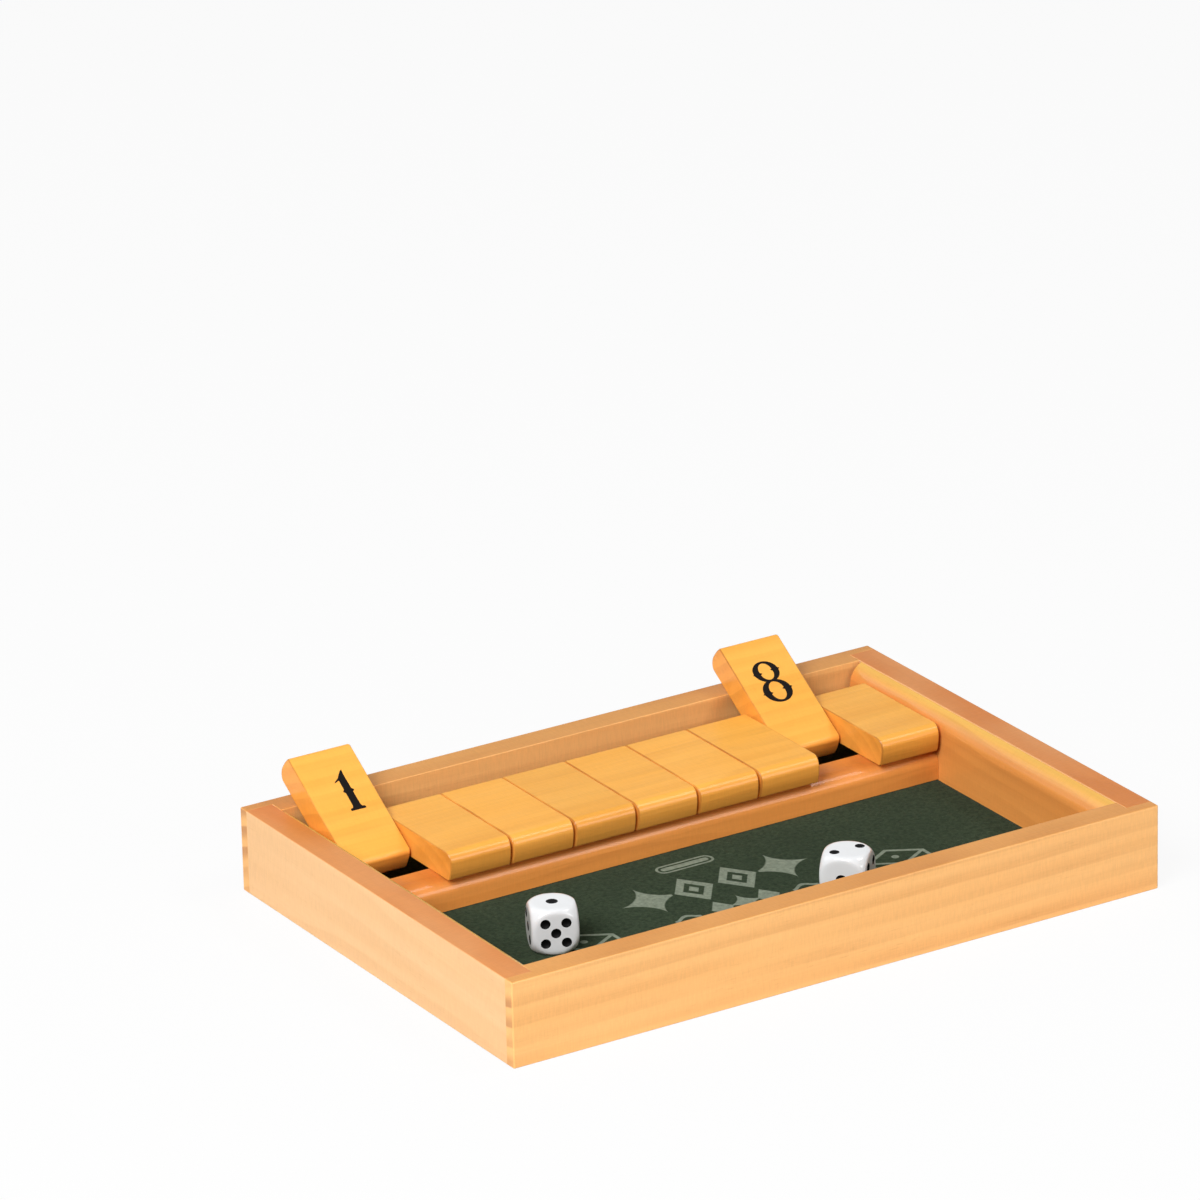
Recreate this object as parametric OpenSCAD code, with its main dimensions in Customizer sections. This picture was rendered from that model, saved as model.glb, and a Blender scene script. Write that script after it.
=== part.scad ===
// Nine-tile wooden number game: a shallow felted tray with hinged tiles and two dice.
// The origin is the centre of the tray's footprint, on the surface it stands on.
// X runs along the front rail, Y from front to back, Z up. Millimetres.

/* [Tray] */
// Outside length of the tray, left to right
tray_l = 250; // [246:1:300]
// Outside depth of the tray, front to back
tray_w = 173; // [165:1:200]
// Height of the four rails
tray_h = 30; // [28:0.5:36]
// Thickness of the four rails
rail_t = 10; // [9:0.5:12]
// Wood that a front or back rail keeps outside the end of a side rail
lip_t = 4.2; // [3:0.1:6]
// Thickness of the moulded board inside each side rail
liner_t = 5; // [4.5:0.1:6]
// Radius of the round along a liner's top inner edge
liner_round_r = 8; // [6.5:0.5:9]
// Gap between a liner's back end and the back rail
liner_back_gap = 1.3; // [0.2:0.1:2]

/* [Floor] */
// Thickness of the floor board
board_t = 2.4; // [2:0.1:3]
// Height of the floor board's underside above the table
board_z = 2.6; // [2:0.1:3]
// Depth of the groove that holds the board's edge
groove_d = 4; // [2.5:0.5:4.5]
// Thickness of the felt
felt_t = 0.8; // [0.6:0.1:1.2]

/* [Tiles] */
// Gap between an end tile and the liner beside it
end_gap = 0.9; // [0.5:0.1:1.5]
// Gap between neighbouring tiles
tile_gap = 0.4; // [0.3:0.05:0.6]
// Length of a tile, nose to tail
tile_l = 48.8; // [47.5:0.1:51]
// Thickness of a tile
tile_t = 10; // [9:0.1:10.5]
// Length of a tile behind the hinge rod
tile_tail = 12.4; // [11:0.1:13.5]
// Drop of a shut tile's top below the rails' tops
tile_drop = 3.1; // [3:0.1:4.5]
// Radius of an end's corner at the back, which faces up on a shut tile
end_r = 3.6; // [3:0.1:5]
// Radius of an end's long curve from that corner to the number side
end_sweep_r = 16; // [12:0.5:20]
// Distance from the hinge rod to the back rail
pivot_back = 21.8; // [20:0.1:24]
// Diameter of the hinge rod
rod_d = 3; // [2.5:0.1:4]

/* [Tile rest] */
// Depth of the rest, front to back
rest_d = 12.4; // [9:0.1:14]
// Overhang of the shut tiles' noses over the rest
nose_overhang = 2.5; // [2:0.1:5]
// Radius of the round along the rest's top front edge
rest_round_r = 5.5; // [4:0.1:8]

/* [Dice] */
// Edge of a die
die_s = 16; // [14:0.5:16]
// Radius of the ball that rounds a die's edges and corners
die_ball_r = 10.9; // [10.4:0.1:11.1]
// Radius of a pip at the surface
pip_r = 1.7; // [1.4:0.05:1.75]
// Radius of the single pip of a one
one_pip_r = 2; // [1.7:0.05:2.3]
// Depth of a pip
pip_depth = 0.7; // [0.4:0.05:0.9]
// Distance of the outer pips from a face's middle lines
pip_offset = 3.46; // [3:0.02:3.6]

/* [Hidden] */
$fn = 64;

tile_count = 9;
// The photographed state: these tiles lie open on the back rail
open_tiles = [1, 8];

rod_seat_gap = 0.05;    // radial room of the rod in the liners and side rails
rod_run_gap = 0.1;      // radial room of the rod in a tile
rod_seat_depth = 3;     // how far the rod runs into a side rail
board_edge_gap = 0.3;   // room for the board at the end of its groove
rest_gap = 0.1;         // room under a shut tile, and behind an open one
liner_top_drop = 0.2;   // a liner's top lies this much below the rail's
liner_crown_cut = 0.6;  // how much of its round's crown the liner's flat top cuts off

inner_x = tray_l/2 - rail_t;
inner_y = tray_w/2 - rail_t;
wall_x = inner_x - liner_t;
felt_z = board_z + board_t;
floor_z = felt_z + felt_t;

tile_pitch = (2*wall_x - 2*end_gap + tile_gap)/tile_count;
tile_w = tile_pitch - tile_gap;
pivot_y = inner_y - pivot_back;
pivot_z = tray_h - tile_drop - tile_t/2;
rod_r = rod_d/2;

// Angle of an open tile above the horizontal, with its back on the back rail's inner edge
edge_rise = tray_h - pivot_z;
edge_reach = sqrt(pivot_back*pivot_back + edge_rise*edge_rise);
open_angle = atan2(edge_rise, pivot_back) + asin((tile_t/2 + rest_gap)/edge_reach);
shut_angle = 180;

rest_front_y = pivot_y - (tile_l - tile_tail) + nose_overhang;
rest_top_z = pivot_z - tile_t/2 - rest_gap;

// Middle of each die on the felt, and its turn about the vertical
die_1_place = [-71.2, -23];
die_1_turn = -22.7;
die_2_place = [31.1, -42.2];
die_2_turn = -47.6;

// Draws a flat outline of depth and height as a bar along X, starting at the left
module bar_along_x(length) {
    rotate([90, 0, 90]) linear_extrude(length) children();
}

// A front rail: a full-length bar with a rabbet at each end and a groove for the board
module end_rail() {
    difference() {
        translate([-tray_l/2, -tray_w/2, 0]) cube([tray_l, rail_t, tray_h]);
        for (side = [-1, 1])
            translate([side*(inner_x + rail_t), -inner_y, tray_h/2])
                cube([2*rail_t, 2*(rail_t - lip_t), 2*tray_h], center = true);
        translate([-inner_x - 1, -inner_y - groove_d, board_z])
            cube([2*inner_x + 2, groove_d + 1, board_t]);
    }
}

module front_rail() {
    color("#dca35f") end_rail();
}

module back_rail() {
    color("#dca35f") mirror([0, 1, 0]) end_rail();
}

// A right side rail: it ends in the rabbets and holds the board and the rod's end
module side_rail() {
    length = tray_w - 2*lip_t;
    difference() {
        translate([inner_x, -length/2, 0]) cube([rail_t, length, tray_h]);
        translate([inner_x - 1, -length/2 - 1, board_z]) cube([groove_d + 1, length + 2, board_t]);
        translate([inner_x - 1, pivot_y, pivot_z]) rotate([0, 90, 0])
            cylinder(r = rod_r + rod_seat_gap, h = rod_seat_depth + 1);
    }
}

module left_rail() {
    color("#e3b483") mirror([1, 0, 0]) side_rail();
}

module right_rail() {
    color("#e3b483") side_rail();
}

// A right liner: a moulded board on the floor board, with a rounded top inner edge
module liner() {
    height = tray_h - liner_top_drop - felt_z;
    length = 2*inner_y - liner_back_gap;
    round_z = height + liner_crown_cut - liner_round_r;
    difference() {
        translate([wall_x, inner_y - liner_back_gap, felt_z]) rotate([90, 0, 0])
            linear_extrude(length) intersection() {
                square([liner_t, height]);
                union() {
                    square([liner_t, round_z]);
                    translate([liner_round_r, round_z]) circle(liner_round_r);
                }
            }
        translate([wall_x - 1, pivot_y, pivot_z]) rotate([0, 90, 0])
            cylinder(r = rod_r + rod_seat_gap, h = liner_t + 2);
    }
}

module left_liner() {
    color("#d39052") mirror([1, 0, 0]) liner();
}

module right_liner() {
    color("#d39052") liner();
}

// The bar that carries the shut tiles' noses and closes the dice tray at the back
module tile_rest() {
    height = rest_top_z - floor_z;
    color("#c98248") translate([-wall_x, rest_front_y, floor_z]) bar_along_x(2*wall_x)
        intersection() {
            square([rest_d, height]);
            union() {
                translate([rest_round_r, 0]) square([rest_d, height]);
                square([rest_d, height - rest_round_r]);
                translate([rest_round_r, height - rest_round_r]) circle(rest_round_r);
            }
        }
}

module base_board() {
    half = [inner_x, inner_y] + (groove_d - board_edge_gap)*[1, 1];
    color("#8a6a48") translate([-half.x, -half.y, board_z]) cube([2*half.x, 2*half.y, board_t]);
}

module felt() {
    color("#34452f") translate([-wall_x, -inner_y, felt_z]) cube([2*wall_x, 2*inner_y, felt_t]);
}

module hinge_rod() {
    reach = inner_x + rod_seat_depth;
    color("silver") translate([-reach, pivot_y, pivot_z]) rotate([0, 90, 0])
        cylinder(r = rod_r, h = 2*reach);
}

// Outline of half a tile, from the rod to an end, with the number side at the top
module tile_end(reach) {
    curve_y = end_r - tile_t/2;
    translate([0, -tile_t/2]) square([reach - end_r, tile_t]);
    translate([reach - end_r, curve_y]) circle(end_r);
    intersection() {
        translate([reach - end_sweep_r, curve_y]) circle(end_sweep_r);
        translate([0, curve_y]) square([reach, tile_t/2 - curve_y]);
    }
}

// Side outline of a tile: x runs from the rod to the nose, y towards the number side
module tile_outline() {
    difference() {
        union() {
            tile_end(tile_l - tile_tail);
            mirror([1, 0]) tile_end(tile_tail);
        }
        circle(rod_r + rod_run_gap);
    }
}

function is_open(number) = len(search(number, open_tiles)) > 0;

function tile_x(number) = (number - (tile_count + 1)/2)*tile_pitch;

// One numbered tile on the rod, standing open or lying shut
module tile(number) {
    color("#e8a758") translate([tile_x(number) - tile_w/2, pivot_y, pivot_z])
        bar_along_x(tile_w) rotate(is_open(number) ? open_angle : shut_angle) tile_outline();
}

// Places of a face's pips, in steps of the pip offset
function pip_places(count) =
    count == 1 ? [[0, 0]] :
    count == 2 ? [[-1, -1], [1, 1]] :
    count == 3 ? [[-1, 1], [0, 0], [1, -1]] :
    count == 4 ? [[-1, -1], [-1, 1], [1, -1], [1, 1]] :
    count == 5 ? [[-1, -1], [-1, 1], [0, 0], [1, -1], [1, 1]] :
    [for (x = [-1, 1], y = [-1, 0, 1]) [x, y]];

// Balls that cut one face's pips, for a face that looks up at the die's top
module face_pips(count) {
    rim_r = count == 1 ? one_pip_r : pip_r;
    ball_r = (rim_r*rim_r + pip_depth*pip_depth)/(2*pip_depth);
    for (place = pip_places(count))
        translate([pip_offset*place.x, pip_offset*place.y, die_s/2 - pip_depth + ball_r])
            sphere(ball_r);
}

// One die; sides holds the pips of the front, right, back and left face
module die(place, turn, top, sides) {
    color("white") translate([place.x, place.y, floor_z + die_s/2]) rotate(turn) difference() {
        intersection() {
            cube(die_s, center = true);
            sphere(die_ball_r);
        }
        face_pips(top);
        rotate([180, 0, 0]) face_pips(7 - top);
        for (side = [0:3]) rotate([90, 0, 90*side]) face_pips(sides[side]);
    }
}

module die_1() {
    die(die_1_place, die_1_turn, 1, [5, 4, 2, 3]);
}

module die_2() {
    die(die_2_place, die_2_turn, 2, [1, 4, 6, 3]);
}

front_rail();
back_rail();
left_rail();
right_rail();
left_liner();
right_liner();
tile_rest();
base_board();
felt();
hinge_rod();
tile(1);  // tile_1
tile(2);  // tile_2
tile(3);  // tile_3
tile(4);  // tile_4
tile(5);  // tile_5
tile(6);  // tile_6
tile(7);  // tile_7
tile(8);  // tile_8
tile(9);  // tile_9
die_1();
die_2();
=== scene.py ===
"""A wooden number game: a shallow felted tray, nine hinged number tiles and two dice.

The tray stands on the table at the origin. X runs along the front rail from tile 1's side, Y from
front to back and Z up. Meshes and lights are in metres. The sizes of the sub-assemblies, and every
length and radius in their code before it is multiplied by MM, are in millimetres.
"""
import logging
import math
import random
from collections.abc import Callable, Iterable, Sequence
from dataclasses import dataclass, field
from enum import Enum
from typing import Any

import bmesh
import bpy
from bpy.types import Material, Mesh, Node, NodeSocket, NodeTree, Object
from mathutils import Matrix, Vector


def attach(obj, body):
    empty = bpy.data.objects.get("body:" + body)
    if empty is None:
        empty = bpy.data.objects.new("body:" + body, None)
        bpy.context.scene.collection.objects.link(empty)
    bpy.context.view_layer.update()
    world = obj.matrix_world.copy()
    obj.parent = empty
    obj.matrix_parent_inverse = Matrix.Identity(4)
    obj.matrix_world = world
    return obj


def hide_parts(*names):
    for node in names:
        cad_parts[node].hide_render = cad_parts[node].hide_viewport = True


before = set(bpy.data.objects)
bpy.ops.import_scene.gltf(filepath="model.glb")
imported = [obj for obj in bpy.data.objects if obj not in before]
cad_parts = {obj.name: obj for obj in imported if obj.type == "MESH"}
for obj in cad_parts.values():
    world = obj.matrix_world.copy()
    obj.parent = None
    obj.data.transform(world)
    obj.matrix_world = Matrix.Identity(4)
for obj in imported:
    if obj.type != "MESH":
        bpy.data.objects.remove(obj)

log = logging.getLogger("number_game")

Point2 = tuple[float, float]
Triple = tuple[float, float, float]
Rgb = tuple[int, int, int]
Arc = tuple[float, float, float, float, float]
Stroke = tuple[Triple, ...]

MM = 0.001
TURN = math.radians
WHITE = (1.0, 1.0, 1.0, 1.0)
END_STEPS = 4


class Grain(Enum):
    """The direction in which the grain of a board runs."""

    ALONG_X = "x"
    ALONG_Y = "y"


class Face(Enum):
    """The side faces of a die, by the quarter turns about the vertical that reach them."""

    FRONT = 0
    RIGHT = 1
    BACK = 2
    LEFT = 3


# ---------------------------------------------------------------- nodes


def linear(rgb: Rgb) -> tuple[float, float, float, float]:
    """Return the linear colour, with an alpha of 1, of a screen colour from 0 to 255."""
    parts = [c / 255 for c in rgb]
    r, g, b = (c / 12.92 if c <= 0.04045 else ((c + 0.055) / 1.055) ** 2.4 for c in parts)
    return (r, g, b, 1.0)


def operator(operation: str) -> Callable[..., Any]:
    """Return a method that feeds a signal, and what it is reckoned with, to a Math node."""
    return lambda signal, *other: signal.wiring.math(operation, signal, *other)


class Signal:
    """A node's output, which is reckoned with like a number. The sign | gives the larger value."""

    __add__, __sub__, __mul__ = operator("ADD"), operator("SUBTRACT"), operator("MULTIPLY")
    __truediv__, __pow__, __or__ = operator("DIVIDE"), operator("POWER"), operator("MAXIMUM")
    __abs__ = operator("ABSOLUTE")

    def __init__(self, wiring: "Wiring", socket: NodeSocket) -> None:
        """Keep the output and the wiring of its tree."""
        self.wiring, self.socket = wiring, socket

    def __rsub__(self, other: float) -> "Signal":
        """Return the difference from a number."""
        return self.wiring.math("SUBTRACT", other, self)


Given = dict[str, Signal]


class Wiring:
    """Adds nodes to one tree and links them, a line of code each."""

    def __init__(self, tree: NodeTree) -> None:
        """Keep the tree that the nodes go into."""
        self.tree = tree

    def feed(self, socket: NodeSocket, value: Any) -> None:
        """Link a socket to another one, or set its value.

        Args:
            socket: The input that is fed.
            value: A signal or an output socket to link from, or a plain value.
        """
        if isinstance(value, Signal):
            value = value.socket
        if isinstance(value, NodeSocket):
            self.tree.links.new(value, socket)
        else:
            socket.default_value = value

    def node(self, kind: str, inputs: dict[Any, Any] | None = None, **settings: Any) -> Node:
        """Return a new node.

        Args:
            kind: The node's type name.
            inputs: What its inputs are fed, by name or index.
            settings: Properties of the node itself.
        """
        made = self.tree.nodes.new(kind)
        for name, value in settings.items():
            setattr(made, name, value)
        for key, value in (inputs or {}).items():
            self.feed(made.inputs[key], value)
        return made

    def out(self, kind: str, inputs: dict[Any, Any] | None = None, output: int | str = 0,
            **settings: Any) -> Signal:
        """Return one output of a new node.

        Args:
            kind: The node's type name.
            inputs: What its inputs are fed, by name or index.
            output: The output's name or index.
            settings: Properties of the node itself.
        """
        return Signal(self, self.node(kind, inputs, **settings).outputs[output])

    def given(self) -> Given:
        """Return a group's own inputs by name."""
        return {s.name: Signal(self, s) for s in self.node("NodeGroupInput").outputs if s.name}

    def give(self, values: dict[str, Any]) -> None:
        """Feed a group's own outputs, by name."""
        end = self.node("NodeGroupOutput")
        for name, value in values.items():
            self.feed(end.inputs[name], value)

    def math(self, operation: str, *terms: Any) -> Signal:
        """Return the result of a Math node with one to three inputs."""
        return self.out("ShaderNodeMath", dict(enumerate(terms)), operation=operation)

    def length(self, a: Signal, b: Signal) -> Signal:
        """Return the length of the line from zero to a point."""
        return self.math("SQRT", a * a + b * b)

    def millimetres(self, place: Any) -> Signal:
        """Return a place in millimetres, from one in metres."""
        return self.out("ShaderNodeVectorMath", {0: place, "Scale": 1 / MM}, operation="SCALE")

    def split(self, vector: Any) -> list[Signal]:
        """Return the X, Y and Z of a vector."""
        parts = self.node("ShaderNodeSeparateXYZ", {0: vector}).outputs
        return [Signal(self, part) for part in parts]

    def join(self, *parts: Any) -> Signal:
        """Return a vector made of X, Y and Z."""
        return self.out("ShaderNodeCombineXYZ", dict(enumerate(parts)))

    def noise(self, parts: Sequence[Signal], sizes: Sequence[Any], detail: float = 2.0,
              roughness: float = 0.5) -> Signal:
        """Return noise whose blots have a size along each axis.

        Args:
            parts: X, Y and Z of where it is read.
            sizes: The size of its blots along each.
            detail: Its octaves.
            roughness: The weight of the finer octaves.
        """
        return self.noise_at(self.join(*(p / s for p, s in zip(parts, sizes))), detail, roughness)

    def noise_at(self, place: Signal, detail: float, roughness: float = 0.5,
                 scale: float = 1.0) -> Signal:
        """Return the value of a Noise Texture node.

        Args:
            place: Where the noise is read.
            detail: Its octaves.
            roughness: The weight of the finer octaves.
            scale: Its scale.
        """
        return self.out("ShaderNodeTexNoise", {"Vector": place, "Scale": scale, "Detail": detail,
                                               "Roughness": roughness})

    def remap(self, value: Any, low: float, high: float, to_low: float = 0.0, to_high: float = 1.0,
              smooth: bool = False) -> Signal:
        """Return a value moved from one range to another and clamped to it.

        Args:
            value: The value that is moved.
            low: The start of its range.
            high: The end of its range.
            to_low: The start of the new range.
            to_high: The end of the new range.
            smooth: Whether it eases in and out.
        """
        return self.out("ShaderNodeMapRange", dict(enumerate((value, low, high, to_low, to_high))),
                        interpolation_type="SMOOTHSTEP" if smooth else "LINEAR")

    def mix(self, factor: Any, a: Any, b: Any, blend: str = "MIX") -> Signal:
        """Return two colours mixed.

        Args:
            factor: How much of the second one there is.
            a: The first colour.
            b: The second colour.
            blend: The node's blend type.
        """
        return self.out("ShaderNodeMix", {0: factor, 6: a, 7: b}, 2, data_type="RGBA",
                        blend_type=blend, clamp_factor=True)


SOCKETS = {"colour": "NodeSocketColor", "value": "NodeSocketFloat", "vector": "NodeSocketVector",
           "geometry": "NodeSocketGeometry", "material": "NodeSocketMaterial",
           "turn": "NodeSocketRotation"}


def add_sockets(tree: NodeTree, into: dict[str, str], out: dict[str, str]) -> None:
    """Give a node tree its named inputs and outputs.

    Args:
        tree: The tree.
        into: The kind of each input, by name.
        out: The kind of each output, by name.
    """
    for side, sockets in (("INPUT", into), ("OUTPUT", out)):
        for name, kind in sockets.items():
            tree.interface.new_socket(name=name, in_out=side, socket_type=SOCKETS[kind])


@dataclass(frozen=True)
class Figure:
    """How long, wide and deep each mark of the wood's figure is, in millimetres."""

    drift: Triple = (130, 60, 60)
    ripple: Triple = (34, 9, 9)
    ring_change: float = 90.0
    streak: Triple = (70, 1.5, 1.5)
    broad: Triple = (190, 8, 8)
    fibre: Triple = (7, 0.34, 0.34)
    cloud: Triple = (42, 20, 20)
    tick: Triple = (5, 0.42, 0.42)
    tick_patch: Triple = (30, 7, 7)
    hatch: Triple = (0.55, 4, 4)


class Effects:
    """The shader node groups that several finishes share, each built once."""

    _made: dict[str, NodeTree] = {}

    @classmethod
    def place(cls, w: Wiring, name: str, inputs: dict[str, Any]) -> Any:
        """Put a shared group into a material and return its outputs.

        Args:
            w: The material's wiring.
            name: The name of the group's method in this class.
            inputs: What its inputs are fed.
        """
        if name not in cls._made:
            tree = bpy.data.node_groups.new(name, "ShaderNodeTree")
            getattr(cls, name)(tree)
            cls._made[name] = tree
        made = w.node("ShaderNodeGroup", node_tree=cls._made[name])
        for key, value in inputs.items():
            w.feed(made.inputs[key], value)
        return made.outputs

    @staticmethod
    def wood_grain(tree: NodeTree) -> None:
        """Build the grain of a sawn and lacquered board, whose grain runs along X.

        Args:
            tree: The empty group. Lengths in it are millimetres.
        """
        values = ("Tone", "Ends", "Edges", "Tops", "Ring", "Drift", "Rings", "Streaks", "Fibres",
                  "End stain", "End rings")
        colours = ("Pale", "Middle", "Dark", "Painted top light", "Edge")
        add_sockets(tree, {"Place": "vector", "Heart": "vector", **dict.fromkeys(values, "value"),
                           **dict.fromkeys(colours, "colour")},
                    {"Colour": "colour", "Roughness": "value", "Height": "value"})
        w, size = Wiring(tree), Figure()
        given = w.given()
        dark, fibres, ends = given["Dark"], given["Fibres"], given["Ends"]
        from_heart = w.out("ShaderNodeVectorMath", {0: given["Place"], 1: given["Heart"]},
                           operation="SUBTRACT")
        x, y, z = xyz = w.split(w.millimetres(from_heart))

        # Growth rings about the log's heart, each of its own strength
        drift = w.noise(xyz, size.drift, 1.5) - 0.5
        ripple = w.noise(xyz, size.ripple) - 0.5
        phase = (w.length(y, z) + (drift + ripple * 0.05) * given["Drift"]) / given["Ring"]
        part = w.math("FRACT", phase)
        late = (w.remap(part, 0.15, 0.78, smooth=True)
                * w.remap(part, 0.88, 1.0, 1.0, 0.0, smooth=True))
        ring_at = w.join(x / size.ring_change, w.math("FLOOR", phase) * 1.37, 0.5)
        bands = late * w.remap(w.noise_at(ring_at, 1.0), 0.34, 0.66, 0.15, 1.0)

        # Marks that run with the grain, and the saw's faint marks across it
        streak = w.remap(w.noise(xyz, size.streak, 3.0, 0.6), 0.32, 0.68)
        broad = w.remap(w.noise(xyz, size.broad, 1.0), 0.34, 0.66)
        fibre = w.remap(w.noise(xyz, size.fibre, 2.0, 0.6), 0.3, 0.7)
        cloud = w.remap(w.noise(xyz, size.cloud, 1.5), 0.3, 0.7)
        ticks = (w.remap(w.noise(xyz, size.tick, 1.0), 0.64, 0.74)
                 * w.remap(w.noise(xyz, size.tick_patch, 1.0), 0.5, 0.62))
        hatch = w.remap(w.noise(xyz, size.hatch, 2.0, 0.6), 0.3, 0.7, -1.0, 1.0)

        colour = w.mix(broad * 0.65 + cloud * 0.35, given["Pale"], given["Middle"])
        soaked = w.mix(1.0, dark, (0.6, 0.48, 0.52, 1), "MULTIPLY")
        for factor, tint in ((bands * given["Rings"], dark),
                             ((streak - 0.35) * given["Streaks"], dark),
                             (fibre * fibres, given["Middle"]),
                             (ticks * (fibres * 0.7), dark),
                             (ends * given["End stain"], dark),
                             (bands * ends * given["End rings"], soaked)):
            colour = w.mix(factor, colour, tint)
        # Painted light: faces that look up are tinted for how the light falls on them, as painted
        # shade on the tops of the rails and the rest and as a painted highlight on the liners'
        # rounds
        colour = w.mix(given["Tops"], colour, w.mix(1.0, colour, given["Painted top light"], "MULTIPLY"))
        # Eased edges go towards the edge colour: partly worn lacquer, partly painted light, as
        # painted shade in the gaps between the tiles and paler painted highlights along the edges
        # of the other pieces
        colour = w.mix(given["Edges"] * w.remap(cloud, 0.1, 0.9, 0.1, 0.35), colour, given["Edge"])
        shade = given["Tone"] * 0.1 + 1.0 + hatch * (fibres * 0.09)
        w.give({"Colour": w.mix(1.0, colour, w.join(shade, shade, shade), "MULTIPLY"),
                "Roughness": (fibre + cloud) * 0.055 + 0.36 + ends * 0.12,
                "Height": bands * 0.5 + (fibre + streak) * 0.35})

    @staticmethod
    def handling(tree: NodeTree) -> None:
        """Build the faint smudges and dulled spots that handling leaves on a smooth surface.

        Args:
            tree: The empty group.
        """
        add_sockets(tree, {"Place": "vector", "Colour": "colour", "Soil": "colour", "Size": "value",
                           "Roughness": "value"},
                    {"Colour": "colour", "Roughness": "value", "Height": "value"})
        w = Wiring(tree)
        given = w.given()
        at = w.join(*(part / given["Size"] for part in w.split(given["Place"])))
        smudge = w.remap(w.noise_at(at, 3.0, 0.55), 0.42, 0.72)
        fine = w.noise_at(at, 4.0, 0.7, 9.0)
        w.give({"Colour": w.mix(smudge * 0.16, given["Colour"], given["Soil"]),
                "Roughness": given["Roughness"] + (smudge + fine) * 0.05,
                "Height": smudge + fine * 0.4})


class Coat:
    """A material with one Principled BSDF and the wiring that feeds it."""

    def __init__(self, name: str, **constants: float) -> None:
        """Make the material.

        Args:
            name: Its name.
            constants: Values on the shader's own sockets, with _ for a space.
        """
        self.material = bpy.data.materials.new(name)
        self.material.use_nodes = True
        self.w = Wiring(self.material.node_tree)
        self.inputs = self.w.tree.nodes["Principled BSDF"].inputs
        for key, value in constants.items():
            self.inputs[key.replace("_", " ")].default_value = value

    def place(self) -> NodeSocket:
        """Return the object coordinates."""
        return self.w.node("ShaderNodeTexCoord").outputs["Object"]

    def paint(self, colour: Any, roughness: Any) -> None:
        """Feed the colour and the roughness."""
        self.w.feed(self.inputs["Base Color"], colour)
        self.w.feed(self.inputs["Roughness"], roughness)

    def raise_surface(self, height: Any, depth: float, strength: float = 1.0) -> None:
        """Feed the normal from a height.

        Args:
            height: The height, from 0 to 1.
            depth: What a height of 1 is in metres.
            strength: How strongly it shows.
        """
        bump = self.w.out("ShaderNodeBump", {"Height": height, "Distance": depth,
                                             "Strength": strength})
        self.w.feed(self.inputs["Normal"], bump)


# ---------------------------------------------------------------- finishes


@dataclass(frozen=True)
class WoodFinish:
    """Sawn wood under clear lacquer. Ring and drift are in millimetres."""

    name: str
    slot: str
    pale: Rgb
    middle: Rgb
    dark: Rgb
    grain: Grain = Grain.ALONG_X
    ring: float = 6.5
    drift: float = 26.0
    rings: float = 0.6
    streaks: float = 0.2
    fibres: float = 0.3
    coat: float = 0.3
    coat_roughness: float = 0.16
    depth: float = 0.00005
    end_stain: float = 0.3
    end_rings: float = 0.85
    # The colour and strength of the eased edges: worn lacquer plus painted light
    edge: Rgb | None = None
    edge_wear_and_light: float = 1.0
    top_wear: float = 0.85
    # Painted light on faces that look up: the tint that their colour is multiplied by
    painted_top_light: Triple = (1.0, 1.0, 1.0)

    def material(self) -> Material:
        """Return the finish as a material."""
        made = Coat(self.name, Specular_IOR_Level=0.1, Coat_Roughness=self.coat_roughness)
        w = made.w
        coordinates = w.node("ShaderNodeTexCoord").outputs
        place, facing = coordinates["Object"], w.split(coordinates["Normal"])
        along = facing[0]
        if self.grain is Grain.ALONG_Y:
            x, y, z = w.split(place)
            place, along = w.join(y, x, z), facing[1]
        tops = w.remap(facing[2], 0.45, 0.95)
        outputs = {"heart": "Vector", "tone": "Fac", "edge": "Fac"}
        heart, tone, edge = (w.out("ShaderNodeAttribute", None, output, attribute_name=name)
                             for name, output in outputs.items())
        grain = Effects.place(w, "wood_grain", {
            "Place": place, "Heart": heart, "Tone": tone, "Ends": w.remap(abs(along), 0.8, 0.97),
            "Edges": edge * self.edge_wear_and_light, "Tops": tops, "Painted top light": (*self.painted_top_light, 1.0),
            "End stain": self.end_stain, "End rings": self.end_rings,
            "Edge": linear(self.edge or self.pale), "Pale": linear(self.pale),
            "Middle": linear(self.middle), "Dark": linear(self.dark), "Ring": self.ring,
            "Drift": self.drift, "Rings": self.rings, "Streaks": self.streaks,
            "Fibres": self.fibres})
        made.paint(grain["Colour"], grain["Roughness"])
        made.raise_surface(grain["Height"], self.depth)
        w.feed(made.inputs["Coat Weight"], self.coat - tops * (self.top_wear * self.coat))
        return made.material


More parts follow.
